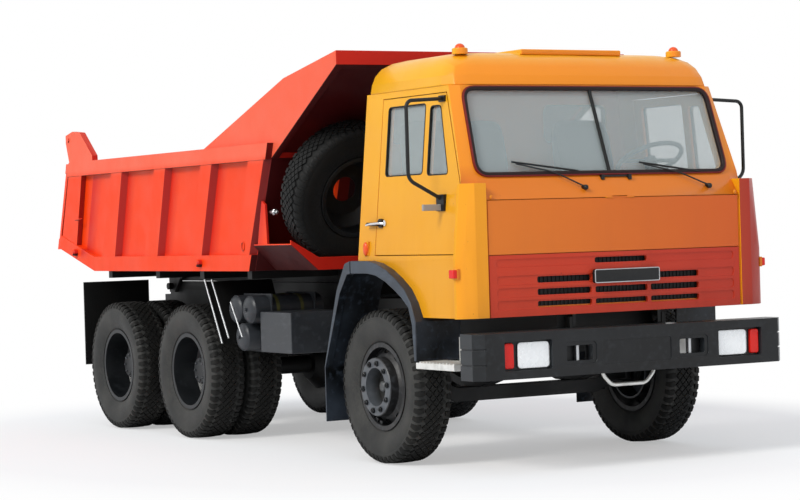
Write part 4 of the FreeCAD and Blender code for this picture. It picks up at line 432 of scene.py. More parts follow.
@dataclass(frozen=True)
class Glass:
    """Window or lamp glass: it reads smooth and partly see-through, with faint dust or moulded ribs."""

    name: str
    colour: str
    alpha: float
    roughness: float = 0.04
    ribs: float = 0.0

    def build(self) -> bpy.types.Material:
        """Return the material.

        Returns:
            The material.
        """
        s = Sketch(self.name)
        haze = s.add("TexNoise", {"Vector": s.place, "Scale": 2.6, "Detail": 4.0})
        haze = s.add("MapRange", {0: haze, 1: 0.35, 2: 0.8, 3: self.alpha - 0.06, 4: self.alpha + 0.1})
        inputs = {"Base Color": linear(self.colour), "Roughness": self.roughness, "Alpha": haze,
                  "Coat Weight": 0.6, "Coat Roughness": 0.02}
        if self.ribs:
            wave = s.add("TexWave", {"Vector": s.place, "Scale": self.ribs}, bands_direction="X").outputs["Fac"]
            inputs["Normal"] = s.add("Bump", {"Height": wave, "Strength": 0.35, "Distance": 0.003})
        return s.finish(s.add("BsdfPrincipled", inputs))


@dataclass(frozen=True)
class Cloth:
    """Woven seat cloth: it reads soft and matt, with warp and weft drawn as coarse as they need to show."""

    name: str
    colour: str
    second: str
    threads: float = 160.0

    def build(self) -> bpy.types.Material:
        """Return the material.

        Returns:
            The material.
        """
        s = Sketch(self.name)
        warp, weft = (s.add("TexWave", {"Vector": s.place, "Scale": self.threads}, bands_direction=axis).outputs["Fac"]
                      for axis in "XZ")
        weave = s.add("Math", {0: warp, 1: weft}, operation="MULTIPLY")
        share = s.add("Math", {0: weave, 1: 0.7}, operation="MULTIPLY")
        return s.finish(s.add("BsdfPrincipled", {
            "Base Color": s.coats(self.colour, [(share, self.second)]), "Roughness": 0.85, "Sheen Weight": 0.3,
            "Normal": s.add("Bump", {"Height": weave, "Strength": 0.3, "Distance": 0.001})}))


class Look(Enum):
    """The finishes that the lorry's pieces choose from."""

    # In these paints the second colour is a painted highlight with random blotches. The front colours and below are
    # painted shade, the bed's ribs set a painted shadow, and the cab's under height paints shade near black.
    BED = Paint("bed_paint", "EA3C00", "E8664A", front="C01E10", below="3A0507", dust="8A2A1C", dust_low=1.2,
                dust_high=1.7, dust_share=0.1, highlight_low=2.05, highlight_high=2.12, coat=0.0, roughness=0.45,
                ribs=((at(1.610), at(1.340)), (at(2.400), at(2.185)), (at(3.190), at(3.000)), (at(4.010), at(3.826)),
                      (at(4.700), at(4.500))), rib_span=(1.403, 2.080))
    CAB = Paint("cab_paint", "E09A12", "EEB022", front="EE8E1C", far_front_shade="EC8A1E", low_front_shade="D8741A",
                dust="B0601A", dust_low=0.95, dust_high=1.7, dust_share=0.2, highlight_low=1.6, highlight_high=2.8, coat=0.12,
                under=0.984)
    DEFLECTOR = Paint("deflector_paint", "E09A12", "E8A41C", front="F09C1A", far_front_shade="A82A1C", dust="A8501A",
                      dust_low=0.95, dust_high=1.7, dust_share=0.2, coat=0.12)
    LID = Paint("lid_paint", "E07620", "E47C24", front="DC7622", far_front_shade="D05A1C", dust="A04A28", dust_low=1.0,
                dust_high=1.8, dust_share=0.14, coat=0.1)
    GRILLE = Paint("grille_paint", "C0381C", "C43C20", front="C43A1E", far_front_shade="BA321C", dust="702018",
                   dust_low=0.95, dust_high=1.4, dust_share=0.2, coat=0.1)
    TYRE = Rubber("sidewall_rubber", colour="262727", dust="605E59", dust_share=0.42, roughness=0.62)
    TREAD = Rubber("tread_rubber", colour="070808", dust="302E2A", dust_share=0.4, roughness=0.7)
    # A darker copy of the tyre rubber: painted shade on the spare tyre.
    SPARE = Rubber("shaded_spare_rubber", colour="060707", dust="1E1E1D", dust_share=0.4, roughness=0.66)
    SEAL = Rubber("window_seal", colour="1A0C0D", dust="3A2422", dust_share=0.3, roughness=0.5)
    SEAL_LIP = Rubber("seal_lip", colour="6A1216", dust="7A2A24", dust_share=0.3, roughness=0.45)
    BLACK_SEAL = Rubber("black_seal", colour="0C0D0E", dust="2A2A27", dust_share=0.3, roughness=0.5)
    # The front colours of the arches and the bumper are painted shade.
    FENDER = Plastic("arch_plastic", "2A313A", "566272", roughness=0.36, scuff_share=0.5, front="0A0C0E")
    BUMPER = Plastic("bumper_plastic", "24272A", "3A3E42", roughness=0.36, scuff_share=0.3, front="07080A")
    BLACK = Plastic("black_trim", "0B0C0D", "26282A", roughness=0.45)
    FRAME = Plastic("frame_primer", "0A0B0C", "242220", roughness=0.55, grain=90.0)
    FLAP = Rubber("flap_rubber", colour="060707", dust="1C1B1A", dust_share=0.35, roughness=0.6)
    TANK = Plastic("tank_paint", "282B2F", "4A4D52", roughness=0.40, grain=80.0, scuff_share=0.55)
    STRAP = Plastic("strap_paint", "4A4A26", "74744A", roughness=0.5)
    RIM = Plastic("rim_enamel", "101214", "34373A", roughness=0.40, grain=120.0, scuff_share=0.5)
    FRONT_RIM = WheelPaint("front_rim_enamel", FRONT_AXLE_Y)
    HUB = Plastic("hub_paint", "2A2C30", "6C7077", roughness=0.36, grain=120.0, scuff_share=0.6)
    STEEL = Metal("bare_steel", "B8BABC", roughness=0.34)
    CHROME = Metal("chrome", "E0E2E4", roughness=0.12, grime_share=0.1)
    RUSTY = Metal("worn_steel", "E6E6E2", grime="7A7872", roughness=0.42, grime_share=0.4, metallic=0.6)
    HOIST = Metal("hoist_rod", "A8AAAC", roughness=0.25)
    WINDOW = Glass("window_glass", "9AA8B2", 0.38)
    LAMP_GLASS = Glass("lamp_glass", "FFFFFF", 0.14, ribs=60.0)
    REFLECTOR = Metal("lamp_reflector", "FAFCFC", roughness=0.25, metallic=0.15, grime_share=0.03)
    RED_LENS = Plastic("red_lens", "D8170F", "F0452A", roughness=0.18, grain=500.0, scuff_share=0.25)
    ORANGE_LENS = Plastic("orange_lens", "E4501A", "F07034", roughness=0.2, grain=500.0, scuff_share=0.25)
    DASH = Plastic("dash_plastic", "3C4246", "5A6064", roughness=0.6)
    SEAT = Cloth("seat_cloth", "3A3E44", "585E66")
    LABEL = Plastic("blank_label", "8E8C8A", "B8B6B2", roughness=0.4)
    NET = Plastic("grille_net", "08090A", "1E1F20", roughness=0.6, grain=700.0, depth=0.5)

    def material(self) -> bpy.types.Material:
        """Return the finish's material, made the first time that it is asked for."""
        made = bpy.data.materials.get(self.value.name)
        return made if made else self.value.build()


# Shapes


@dataclass
class Shape:
    """Vertices as an array and faces as lists of their numbers."""

    points: np.ndarray
    faces: list

    def moved(self, x: float = 0.0, y: float = 0.0, z: float = 0.0) -> Shape:
        """Return the shape moved by an offset."""
        return Shape(self.points + np.array([x, y, z]), self.faces)

    def turned(self, matrix: Matrix) -> Shape:
        """Return the shape with a matrix applied to its points."""
        m = np.array(matrix.to_4x4())
        return Shape(self.points @ m[:3, :3].T + m[:3, 3], self.faces)

    def mirrored(self) -> Shape:
        """Return the shape's mirror image across X, with its faces turned to point outwards."""
        return Shape(self.points * np.array([-1, 1, 1]), [list(reversed(face)) for face in self.faces])


def clockwise(axis: str) -> Matrix:
    """Return a quarter turn about an axis, clockwise as seen from its tip."""
    return Matrix.Rotation(math.radians(-90), 4, axis)


def on_side(shape: Shape, sign: int) -> Shape:
    """Return a left-hand shape as it is for the left side, or its mirror image for the right."""
    return shape if sign > 0 else shape.mirrored()


def paired(shape: Shape) -> list[Shape]:
    """Return a left-hand shape and its mirror image."""
    return [shape, shape.mirrored()]


def joined(shapes: list[Shape]) -> Shape:
    """Put several shapes into one.

    Args:
        shapes: the shapes, in order.

    Returns:
        One shape that holds them all.
    """
    points, faces, start = [], [], 0
    for shape in shapes:
        points.append(shape.points)
        faces += [[start + int(i) for i in face] for face in shape.faces]
        start += len(shape.points)
    return Shape(np.concatenate(points), faces)


def grid(points: np.ndarray, wrap_u: bool = False, wrap_v: bool = False, caps: bool = False) -> Shape:
    """Turn a grid of points, of shape (u, v, 3), into four-sided faces.

    Args:
        points: the surface sampled on two parameters.
        wrap_u: whether the last row joins the first.
        wrap_v: whether the last column joins the first.
        caps: whether the first and last rows are closed by one face each.

    Returns:
        The shape, with faces that point along the cross product of u and v.
    """
    rows, columns = points.shape[:2]
    numbers = np.arange(rows * columns).reshape(rows, columns)
    u = numbers if wrap_u else numbers[:-1]
    below = np.roll(numbers, -1, axis=0) if wrap_u else numbers[1:]
    right, corner = np.roll(u, -1, axis=1), np.roll(below, -1, axis=1)
    keep = slice(None) if wrap_v else slice(0, columns - 1)
    quads = np.stack([u[:, keep], below[:, keep], corner[:, keep], right[:, keep]], axis=-1).reshape(-1, 4)
    faces = quads.tolist()
    if caps:
        faces.append(numbers[0].tolist())
        faces.append(numbers[-1][::-1].tolist())
    return Shape(points.reshape(-1, 3), faces)


def lathe(profile: list[tuple[float, float]], count: int = 48, closed: bool = False, caps: bool = False) -> Shape:
    """Turn a profile about the X axis: a point (x, r) goes to (x, r cos a, r sin a) for every angle a.

    Args:
        profile: places along X and radii.
        count: how many steps the turn has.
        closed: whether the profile is a loop, which makes a ring.
        caps: whether both ends are closed by a flat face.

    Returns:
        The surface, open at both ends unless it is closed or has caps.
    """
    line = np.array(profile, dtype=float)
    angle = np.linspace(0, 2 * math.pi, count, endpoint=False)
    x = np.repeat(line[:, :1], count, axis=1)
    points = np.stack([x, line[:, 1:] * np.cos(angle), line[:, 1:] * np.sin(angle)], axis=-1)
    return grid(points, wrap_u=closed, wrap_v=True, caps=caps)


def plug(profile: list[tuple[float, float]], count: int = 24) -> Shape:
    """Turn a profile about the X axis and close both its ends."""
    return lathe(profile, count, caps=True)


def smooth_path(points: list[tuple[float, float, float]], reach: float, steps: int = 5) -> np.ndarray:
    """Round the corners of a path: each is replaced by the parabola (1-t)^2 a + 2t(1-t) b + t^2 c.

    Args:
        points: the path's two ends and the corners between them.
        reach: how far from a corner its curve starts and ends, at a and c.
        steps: how many steps a curve has.

    Returns:
        The points of the smooth path.
    """
    spots = np.array(points, dtype=float)
    line = [spots[0]]
    for before, corner, after in zip(spots, spots[1:], spots[2:]):
        a = corner + (before - corner) / np.linalg.norm(before - corner) * reach
        c = corner + (after - corner) / np.linalg.norm(after - corner) * reach
        t = np.linspace(0, 1, steps + 1)[:, None]
        line += list((1 - t) ** 2 * a + 2 * t * (1 - t) * corner + t ** 2 * c)
    line.append(spots[-1])
    return np.array(line)


def swept(path: np.ndarray, profile: np.ndarray, up: tuple[float, float, float] = (0, 0, 1), closed: bool = False
          ) -> Shape:
    """Carry a closed profile along a path.

    A profile point (a, b) goes to the path's point plus a times the side direction plus b times the top
    direction, where side is the tangent's cross product with up, and top is side's with the tangent.

    Args:
        path: points in order.
        profile: rows of (a, b) round a closed outline.
        up: a direction that the path never follows.
        closed: whether the path is a loop.

    Returns:
        The surface, with a face at both ends unless the path is a loop.
    """
    if closed:
        tangent = np.roll(path, -1, axis=0) - np.roll(path, 1, axis=0)
    else:
        tangent = np.gradient(path, axis=0)
    tangent /= np.linalg.norm(tangent, axis=1, keepdims=True)
    side = np.cross(tangent, np.array(up, dtype=float))
    side /= np.linalg.norm(side, axis=1, keepdims=True)
    top = np.cross(side, tangent)
    points = path[:, None] + profile[None, :, :1] * side[:, None] + profile[None, :, 1:] * top[:, None]
    return grid(points[:, ::-1], wrap_u=closed, wrap_v=True, caps=not closed)


def circle(radius: float, count: int = 10) -> np.ndarray:
    """Return a round profile."""
    angle = np.linspace(0, 2 * math.pi, count, endpoint=False)
    return np.stack([radius * np.cos(angle), radius * np.sin(angle)], axis=-1)


def oblong(width: float, height: float, corner: float, steps: int = 3) -> np.ndarray:
    """Return a rectangle with round corners as a closed profile.

    Args:
        width: its size along the first direction.
        height: its size along the second.
        corner: the radius of its corners.
        steps: how many steps a corner has.

    Returns:
        Rows of (a, b), counted from its middle.
    """
    line = []
    for start, (sx, sy) in zip((0, 90, 180, 270), ((1, 1), (-1, 1), (-1, -1), (1, -1))):
        angle = np.radians(np.linspace(start, start + 90, steps + 1))
        line.append(np.stack([sx * (width / 2 - corner) + corner * np.cos(angle),
                              sy * (height / 2 - corner) + corner * np.sin(angle)], axis=-1))
    return np.concatenate(line)


def block(x: tuple[float, float], y: tuple[float, float], z: tuple[float, float]) -> Shape:
    """Return a block between limits, for bevelling.

    Args:
        x: its limits along X.
        y: its limits along Y.
        z: its limits along Z.

    Returns:
        The block.
    """
    points = np.array([[i, j, k] for k in z for j in y for i in x], dtype=float)
    faces = [[0, 2, 3, 1], [4, 5, 7, 6], [0, 1, 5, 4], [2, 6, 7, 3], [0, 4, 6, 2], [1, 3, 7, 5]]
    return Shape(points, faces)


def domed_plate(outline: np.ndarray, rise: float, thick: float, rings: int = 4) -> Shape:
    """Lay a face over an outline in the XZ plane that bulges towards minus Y.

    The ring at angle a is the outline scaled by 1 - 0.16 (1 - cos a) about its middle and raised by rise times
    sin a. The last ring is drawn in almost to a point, which closes the face.

    Args:
        outline: rows of (x, z).
        rise: how far the face bulges.
        thick: how far its rim reaches back.
        rings: how many rings the face has.

    Returns:
        The plate, with a flat back.
    """
    middle = outline.mean(axis=0)
    rows = [np.stack([outline[:, 0], np.full(len(outline), thick), outline[:, 1]], axis=-1)]
    for angle in np.linspace(0, math.pi / 2 * 0.98, rings):
        flat = middle + (outline - middle) * (1 - 0.16 * (1 - math.cos(angle)) - 0.84 * (angle > 1.5))
        rows.append(np.stack([flat[:, 0], np.full(len(outline), -rise * math.sin(angle)), flat[:, 1]], axis=-1))
    return grid(np.array(rows)[:, ::-1], wrap_v=True, caps=True)


def hexagon_nut(radius: float, height: float, stud: float, stud_height: float) -> Shape:
    """Return a nut with its stud, its foot at the origin, standing along X."""
    nut = plug([(0, radius), (height * 0.85, radius), (height, radius * 0.86)], 6)
    return joined([nut, plug([(0, stud), (stud_height - 0.002, stud), (stud_height, stud * 0.7)], 8)])


def ringed(shape: Shape, count: int, radius: float, start: float = 0.0) -> Shape:
    """Repeat a shape about the X axis at a radius.

    Args:
        shape: the shape to repeat.
        count: how many copies there are.
        radius: how far they stand from the axis.
        start: the first copy's angle.

    Returns:
        One shape that holds all the copies.
    """
    copies = []
    for k in range(count):
        angle = start + 2 * math.pi * k / count
        copies.append(shape.moved(z=radius).turned(Matrix.Rotation(angle, 4, "X")))
    return joined(copies)


def bolt_head(direction: tuple[float, float, float], spot: tuple[float, float, float], radius: float = 0.008
              ) -> Shape:
    """Return a domed bolt head that stands on a spot and points in a direction.

    Args:
        direction: where its dome points.
        spot: the middle of its foot.
        radius: the radius of its dome.

    Returns:
        The head, on a washer.
    """
    head = plug([(0, radius * 1.3), (radius * 0.2, radius * 1.3), (radius * 0.25, radius), (radius * 0.7, radius * 0.8),
                 (radius * 0.85, radius * 0.3)], 10)
    aim = np.array(direction, dtype=float)
    aim /= np.linalg.norm(aim)
    axis = np.cross([1, 0, 0], aim)
    turn = Matrix.Identity(4)
    if np.linalg.norm(axis) > 1e-6:
        turn = Matrix.Rotation(math.acos(aim[0]), 4, axis.tolist())
    elif aim[0] < 0:
        turn = Matrix.Rotation(math.pi, 4, "Z")
    return head.turned(turn).moved(*spot)


# Pieces


class Workshop:
    """Puts finished pieces into the scene and keeps count of them."""

    def __init__(self, frame: dict) -> None:
        """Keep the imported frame.
        """
        self.frame = frame
        self.made: list[str] = []

    def piece(self, name: str, shape: Shape, body: str, look: Look, bevel: float = 0.0,
              angle: float = 35.0, replaces: tuple[str, ...] = ()) -> bpy.types.Object:
        """Make an object of a shape, dress it and let it ride on a body.

        Args:
            name: the piece's name.
            shape: its points and faces.
            body: the body that it rides on.
            look: its finish.
            bevel: how wide its edges are rounded, in metres.
            angle: edges sharper than this many degrees stay sharp in shading.
            replaces: CAD nodes that it stands for.

        Returns:
            The new object.
        """
        mesh = bpy.data.meshes.new(name)
        mesh.from_pydata(shape.points.tolist(), [], [list(map(int, face)) for face in shape.faces])
        mesh.validate()
        thing = bpy.data.objects.new(name, mesh)
        bpy.context.collection.objects.link(thing)
        return self.dress(thing, body, look, bevel, angle, replaces)

    def dress(self, thing: bpy.types.Object, body: str, look: Look, bevel: float, angle: float,
              replaces: tuple[str, ...], segments: int = 2) -> bpy.types.Object:
        """Give an object its finish, its shading, its round edges and its body.

        Args:
            thing: the object.
            body: the body that carries it.
            look: its finish.
            bevel: how wide its edges are rounded, or 0 for sharp ones.
            angle: edges sharper than this many degrees stay sharp in shading.
            replaces: CAD nodes that it stands for.
            segments: how many faces make a round edge.

        Returns:
            The same object.
        """
        mesh = thing.data
        mesh.shade_smooth()
        mesh.set_sharp_from_angle(angle=math.radians(angle))
        mesh.materials.clear()
        mesh.materials.append(look.material())
        if bevel:
            modifier = thing.modifiers.new("rounded", "BEVEL")
            modifier.width = bevel
            modifier.segments = segments
            modifier.limit_method = "ANGLE"
            modifier.angle_limit = math.radians(30)
            modifier.harden_normals = True
        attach(thing, body)
        if replaces:
            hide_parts(*replaces)
        self.made.append(thing.name)
        LOG.info("made %s on %s", thing.name, body)
        return thing

    def softened(self, node: str, body: str, look: Look, width: float, angle: float = 28.0,
                 segments: int = 2) -> bpy.types.Object:
        """Stand in for a CAD node with a merged copy of it whose sharp edges are rounded.

        Args:
            node: the CAD node.
            body: the body that carries it.
            look: its finish.
            width: how wide the edges are rounded, in metres.
            angle: edges flatter than this many degrees stay as they are.
            segments: how many faces make a round edge.

        Returns:
            The copy.
        """
        source = self.frame["nodes"][node]
        tool = bmesh.new()
        tool.from_mesh(source.data)
        bmesh.ops.remove_doubles(tool, verts=tool.verts, dist=2e-5)
        bmesh.ops.dissolve_limit(tool, angle_limit=math.radians(0.6), verts=tool.verts, edges=tool.edges)
        mesh = bpy.data.meshes.new(f"{node}_dressed")
        tool.to_mesh(mesh)
        tool.free()
        thing = bpy.data.objects.new(f"{node}_dressed", mesh)
        bpy.context.collection.objects.link(thing)
        self.dress(thing, body, look, width, angle, (node,), segments)
        thing.modifiers["rounded"].angle_limit = math.radians(angle)
        return thing

    def finish_node(self, node: str, look: Look) -> None:
        """Give a CAD node that stays a better material.

        Args:
            node: the CAD node.
            look: its finish.
        """
        mesh = self.frame["nodes"][node].data
        mesh.materials.clear()
        mesh.materials.append(look.material())


@dataclass
class Tyres:
    """The road tyres and the spare, each with a carcass, shoulder lugs and diamond tread blocks."""

    radius: float = AXLE_HEIGHT
    track_front: float = 1.013
    track_rear: float = 0.928
    twin: float = 0.1585
    pitches: int = 54
    spare_spot: tuple[float, float, float] = (-0.730, at(1.030), 1.821)
    spare_lean: float = 18.0

    def carcass(self) -> Shape:
        """Turn the half section, mirrored across the middle plane, about the axle.

        Returns:
            The carcass about the X axis.
        """
        half = [(0.0947, 0.2744), (0.0947, 0.2960), (0.1010, 0.3060), (0.1060, 0.3045), (0.1140, 0.3180),
                (0.1260, 0.3500), (0.1345, 0.3850), (0.1375, 0.4150), (0.1365, 0.4400), (0.1340, 0.4500),
                (0.1352, 0.4520), (0.1330, 0.4700), (0.1270, 0.4880), (0.1130, 0.4990), (0.0600, 0.5025)]
        profile = [(-x, r) for x, r in half] + [(0.0, 0.5032)] + half[::-1]
        return lathe(profile, 2 * self.pitches)

    def wrapped(self, across: np.ndarray, along: np.ndarray, radii: np.ndarray) -> np.ndarray:
        """Bend flat tread places onto the tyre: (x, s, r) goes to (x, r sin(s/R), r cos(s/R))."""
        turn = along / self.radius
        return np.stack([across, radii * np.sin(turn), radii * np.cos(turn)], axis=-1)

    def diamonds(self) -> Shape:
        """Set five columns of four-cornered blocks, every other column half a pitch on.

        Returns:
            The blocks about the X axis.
        """
        pitch = 2 * math.pi * self.radius / self.pitches
        wide, long = 0.0265, pitch / 2
        corners = np.array([[1, 0], [0, 1], [-1, 0], [0, -1]], dtype=float)
        top = corners * np.array([wide - 0.0052, long - 0.0060])
        foot = corners * np.array([wide - 0.0026, long - 0.0032])
        points, faces = [], []
        for column in range(-2, 3):
            for step in range(self.pitches):
                middle = np.array([column * wide, (step + 0.5 * (column % 2)) * pitch])
                start = 8 * len(faces) // 5
                low, high = foot + middle, top + middle
                crown = self.radius - 0.0025 * (high[:, 0] / 0.08) ** 2
                points.append(self.wrapped(low[:, 0], low[:, 1], np.full(4, 0.5005)))
                points.append(self.wrapped(high[:, 0], high[:, 1], crown))
                faces += [[start + 4, start + 7, start + 6, start + 5]]
                faces += [[start + k, start + 4 + k, start + 4 + (k + 1) % 4, start + (k + 1) % 4] for k in range(4)]
        return Shape(np.concatenate(points), faces)

    def lugs(self) -> Shape:
        """Wrap a row of lugs over each shoulder, each a strip swept down the side wall.

        Returns:
            The lugs about the X axis.
        """
        pitch = 2 * math.pi * self.radius / self.pitches
        outer = np.array([[0.0850, 0.5110], [0.1080, 0.5105], [0.1215, 0.5045], [0.1325, 0.4890], [0.1378, 0.4660]])
        inner = np.array([[0.0850, 0.5000], [0.1080, 0.4980], [0.1180, 0.4940], [0.1280, 0.4850], [0.1335, 0.4640]])
        half = np.array([0.0165, 0.0205, 0.0200, 0.0185, 0.0160])
        shift = np.array([0.006, 0.002, 0.0, 0.0, 0.0])
        shapes = []
        for step in range(self.pitches):
            middle = (step + 0.5) * pitch
            rows = []
            for k in range(5):
                span = half[k]
                s = np.array([-span, -span * 0.9, span * 0.9, span]) + middle + shift[k]
                x = np.array([inner[k, 0], outer[k, 0], outer[k, 0], inner[k, 0]])
                r = np.array([inner[k, 1], outer[k, 1], outer[k, 1], inner[k, 1]])
                rows.append(self.wrapped(x, s, r))
            lug = grid(np.array(rows)[:, ::-1], wrap_v=True, caps=True)
            shapes += [lug, lug.turned(Matrix.Rotation(math.pi / self.pitches, 4, "X")).mirrored()]
        return joined(shapes)

    def build(self, shop: Workshop) -> None:
        """Stand the tyres in their places, each as a carcass and a tread that replace the CAD node together.

        Args:
            shop: the workshop that makes and dresses the pieces.
        """
        forms = (("carcass", self.carcass(), Look.TYRE), ("tread", joined([self.diamonds(), self.lugs()]), Look.TREAD))
        aim = Matrix.Rotation(math.radians(self.spare_lean), 4, "X") @ clockwise("Z")
        for part, form, look in forms:
            for side, sign in SIDES:
                front = form.moved(sign * self.track_front, FRONT_AXLE_Y, self.radius)
                shop.piece(f"front_tyre_{side}_{part}", front, f"front_wheel_{side}", look,
                           replaces=(f"front_tyre_{side}",))
                for axle, station in REAR_AXLES:
                    pair = joined([form.moved(sign * (self.track_rear + twin), at(station), self.radius)
                                   for twin in (-self.twin, self.twin)])
                    shop.piece(f"{axle}_tyres_{side}_{part}", pair, f"{axle}_wheels_{side}", look,
                               replaces=(f"{axle}_tyres_{side}",))
            # The spare takes the darker rubber, which is painted shade.
            shop.piece(f"spare_tyre_{part}", form.turned(aim).moved(*self.spare_spot), "bed", Look.SPARE,
                       replaces=("spare_tyre",))


@dataclass
class Wheels:
    """Nuts, studs and clamps on the rims."""

    face_front: float = 1.173
    nut_ring: float = 0.160

    def build(self, shop: Workshop) -> None:
        """Finish the rims and add their fastenings.

        Args:
            shop: the workshop that makes and dresses the pieces.
        """
        for side, sign in SIDES:
            shop.softened(f"front_rim_{side}", f"front_wheel_{side}", Look.FRONT_RIM, 0.003)
            nuts = ringed(hexagon_nut(0.019, 0.016, 0.010, 0.024), 10, self.nut_ring, 0.2).moved(x=self.face_front)
            clamps = []
            for k in range(4):
                angle = math.radians(193 + 13 * k)
                clamp = block((1.064, 1.106), (-0.016, 0.016), (0.238, 0.268))
                clamps.append(clamp.turned(Matrix.Rotation(angle, 4, "X")))
            fittings = on_side(joined([nuts] + clamps).moved(0, FRONT_AXLE_Y, AXLE_HEIGHT), sign)
            shop.piece(f"front_wheel_nuts_{side}", fittings, f"front_wheel_{side}", Look.RIM)
            for axle, station in REAR_AXLES:
                shop.softened(f"{axle}_rims_{side}", f"{axle}_wheels_{side}", Look.RIM, 0.003)
                nuts = ringed(hexagon_nut(0.019, 0.018, 0.010, 0.03), 10, 0.150, 0.1).moved(x=0.929)
                cover = ringed(hexagon_nut(0.010, 0.008, 0.006, 0.012), 8, 0.075).moved(x=1.0965)
                fittings = on_side(joined([nuts, cover]).moved(0, at(station), AXLE_HEIGHT), sign)
                shop.piece(f"{axle}_wheel_nuts_{side}", fittings, f"{axle}_wheels_{side}", Look.HUB)
        shop.softened("spare_rim", "bed", Look.RIM, 0.003)


@dataclass
class Cab:
    """The cab's skin, seals, lamps, handles, wipers and mirrors."""

    low_centre: float = -1.085
    low_corner: float = -1.035
    high_centre: float = -0.868
    high_corner: float = -0.850
    screen_low: float = 1.884
    screen_high: float = 2.465
    opening_foot: tuple[float, float] = (0.985, 1.890)
    opening_top: tuple[float, float] = (0.962, 2.438)
    side_half: float = 1.150
    side_kink: float = 1.361
    rest_ends: tuple[float, float] = (-0.075, 0.140)
    net_half: float = 0.93
    net_levels: tuple[float, float] = (1.044, 1.364)
    hinge_levels: tuple[float, float] = (1.107, 1.687)
    roof_lamp: tuple[float, float] = (0.859, at(-0.674))
    rear_marker: tuple[float, float] = (at(0.105), 1.431)
    handle_level: float = 1.600
    lean: float = 0.0978

    def front_y(self, x: np.ndarray, z: np.ndarray) -> np.ndarray:
        """Return the Y place of the screen's surface.

        Between the two levels the centre and corner stations run straight with height, and Y runs straight
        from the centre to the corner with distance from the middle.

        Args:
            x: places along X.
            z: places along Z.

        Returns:
            The places along Y.
        """
        k = (z - self.screen_low) / (self.screen_high - self.screen_low)
        centre = self.low_centre + k * (self.high_centre - self.low_centre)
        corner = self.low_corner + k * (self.high_corner - self.low_corner)
        half = 1.0 - 0.02 * k
        return FRONT_AXLE_Y + centre + (corner - centre) * np.abs(x) / half

    def side_x(self, z: np.ndarray) -> np.ndarray:
        """Return how far out the cab's side stands at a height."""
        return self.side_half - (np.maximum(z, self.side_kink) - self.side_kink) * self.lean

    def screen_path(self, inset: float, corner: float, count: int = 14) -> np.ndarray:
        """Return a closed path round the screen opening, drawn in by an inset, with round corners.

        Args:
            inset: how far inside the opening it runs.
            corner: how far from a corner its curve starts and ends.
            count: how finely the straight sides are divided.

        Returns:
            The path's points.
        """
        foot, low = self.opening_foot[0] - inset, self.opening_foot[1] + inset
        top, high = self.opening_top[0] - inset, self.opening_top[1] - inset
        corners = [(-foot, low), (foot, low), (top, high), (-top, high)]
        line = []
        for k, spot in enumerate(corners):
            before, after = np.array(corners[k - 1]), np.array(corners[(k + 1) % 4])
            spot = np.array(spot)
            a = spot + (before - spot) / np.linalg.norm(before - spot) * corner
            c = spot + (after - spot) / np.linalg.norm(after - spot) * corner
            t = np.linspace(0, 1, 7)[:, None]
            line += list((1 - t) ** 2 * a + 2 * t * (1 - t) * spot + t ** 2 * c)
            t = np.linspace(0, 1, count)[1:-1, None]
            ahead = after + (spot - after) / np.linalg.norm(spot - after) * corner
            line += list(c + (ahead - c) * t)
        flat = np.array(line)
        y = self.front_y(flat[:, 0], flat[:, 1])
        return np.stack([flat[:, 0], y, flat[:, 1]], axis=-1)

    def screen(self, shop: Workshop) -> None:
        """Seal the windscreen, with its bright bead and its centre strip.

        Args:
            shop: the workshop that makes and dresses the pieces.
        """
        path = self.screen_path(-0.004, 0.085)
        seal = swept(path + np.array([0, -0.004, 0]), oblong(0.028, 0.030, 0.008), (0, -1, 0), closed=True)
        shop.piece("screen_seal", seal, "cab", Look.SEAL)
        lip = swept(self.screen_path(-0.016, 0.095) + np.array([0, -0.010, 0]), oblong(0.010, 0.022, 0.004),
                    (0, -1, 0), closed=True)
        shop.piece("screen_seal_lip", lip, "cab", Look.SEAL_LIP)
        z = np.linspace(self.screen_low, 2.445, 12)
        strip = np.stack([np.zeros(12), self.front_y(np.zeros(12), z) - 0.003, z], axis=-1)
        shop.piece("screen_strip", swept(strip, oblong(0.021, 0.018, 0.005), (0, -1, 0)), "cab", Look.BLACK_SEAL)
        corners = [(0.350, 0, 2.131), (0.900, 0, 2.131), (0.900, 0, 2.401), (0.350, 0, 2.401)]
        ring = smooth_path(corners + corners[:2], 0.060)[1:-1]
        seals = []
        for station in (0.2255, 0.209):
            seal = swept(ring + np.array([0, at(station), 0]), oblong(0.030, 0.012, 0.004), (0, 1, 0), closed=True)
            seals += paired(seal)
        shop.piece("rear_window_seals", joined(seals), "cab", Look.BLACK_SEAL)

    def door_seals(self, shop: Workshop) -> None:
        """Seal each door's two windows.

        Args:
            shop: the workshop that makes and dresses the pieces.
        """
        pane = [(-0.553, 1.908), (-0.553, 2.362), (-0.082, 2.362), (-0.082, 1.908)]
        small_pane = [(-0.868, 1.898), (-0.737, 2.342), (-0.614, 2.342), (-0.614, 1.898)]
        for side, sign in SIDES:
            seals = []
            for outline in (pane, small_pane):
                spots = [(0, at(s), z) for s, z in outline]
                path = smooth_path(spots + spots[:2], 0.028, 4)[1:-1]
                path[:, 0] = sign * (self.side_x(path[:, 2]) - 0.010)
                seals.append(swept(path, oblong(0.009, 0.026, 0.004), (sign, 0, 0), closed=True))
            shop.piece(f"door_seals_{side}", joined(seals), f"door_{side}", Look.BLACK_SEAL)

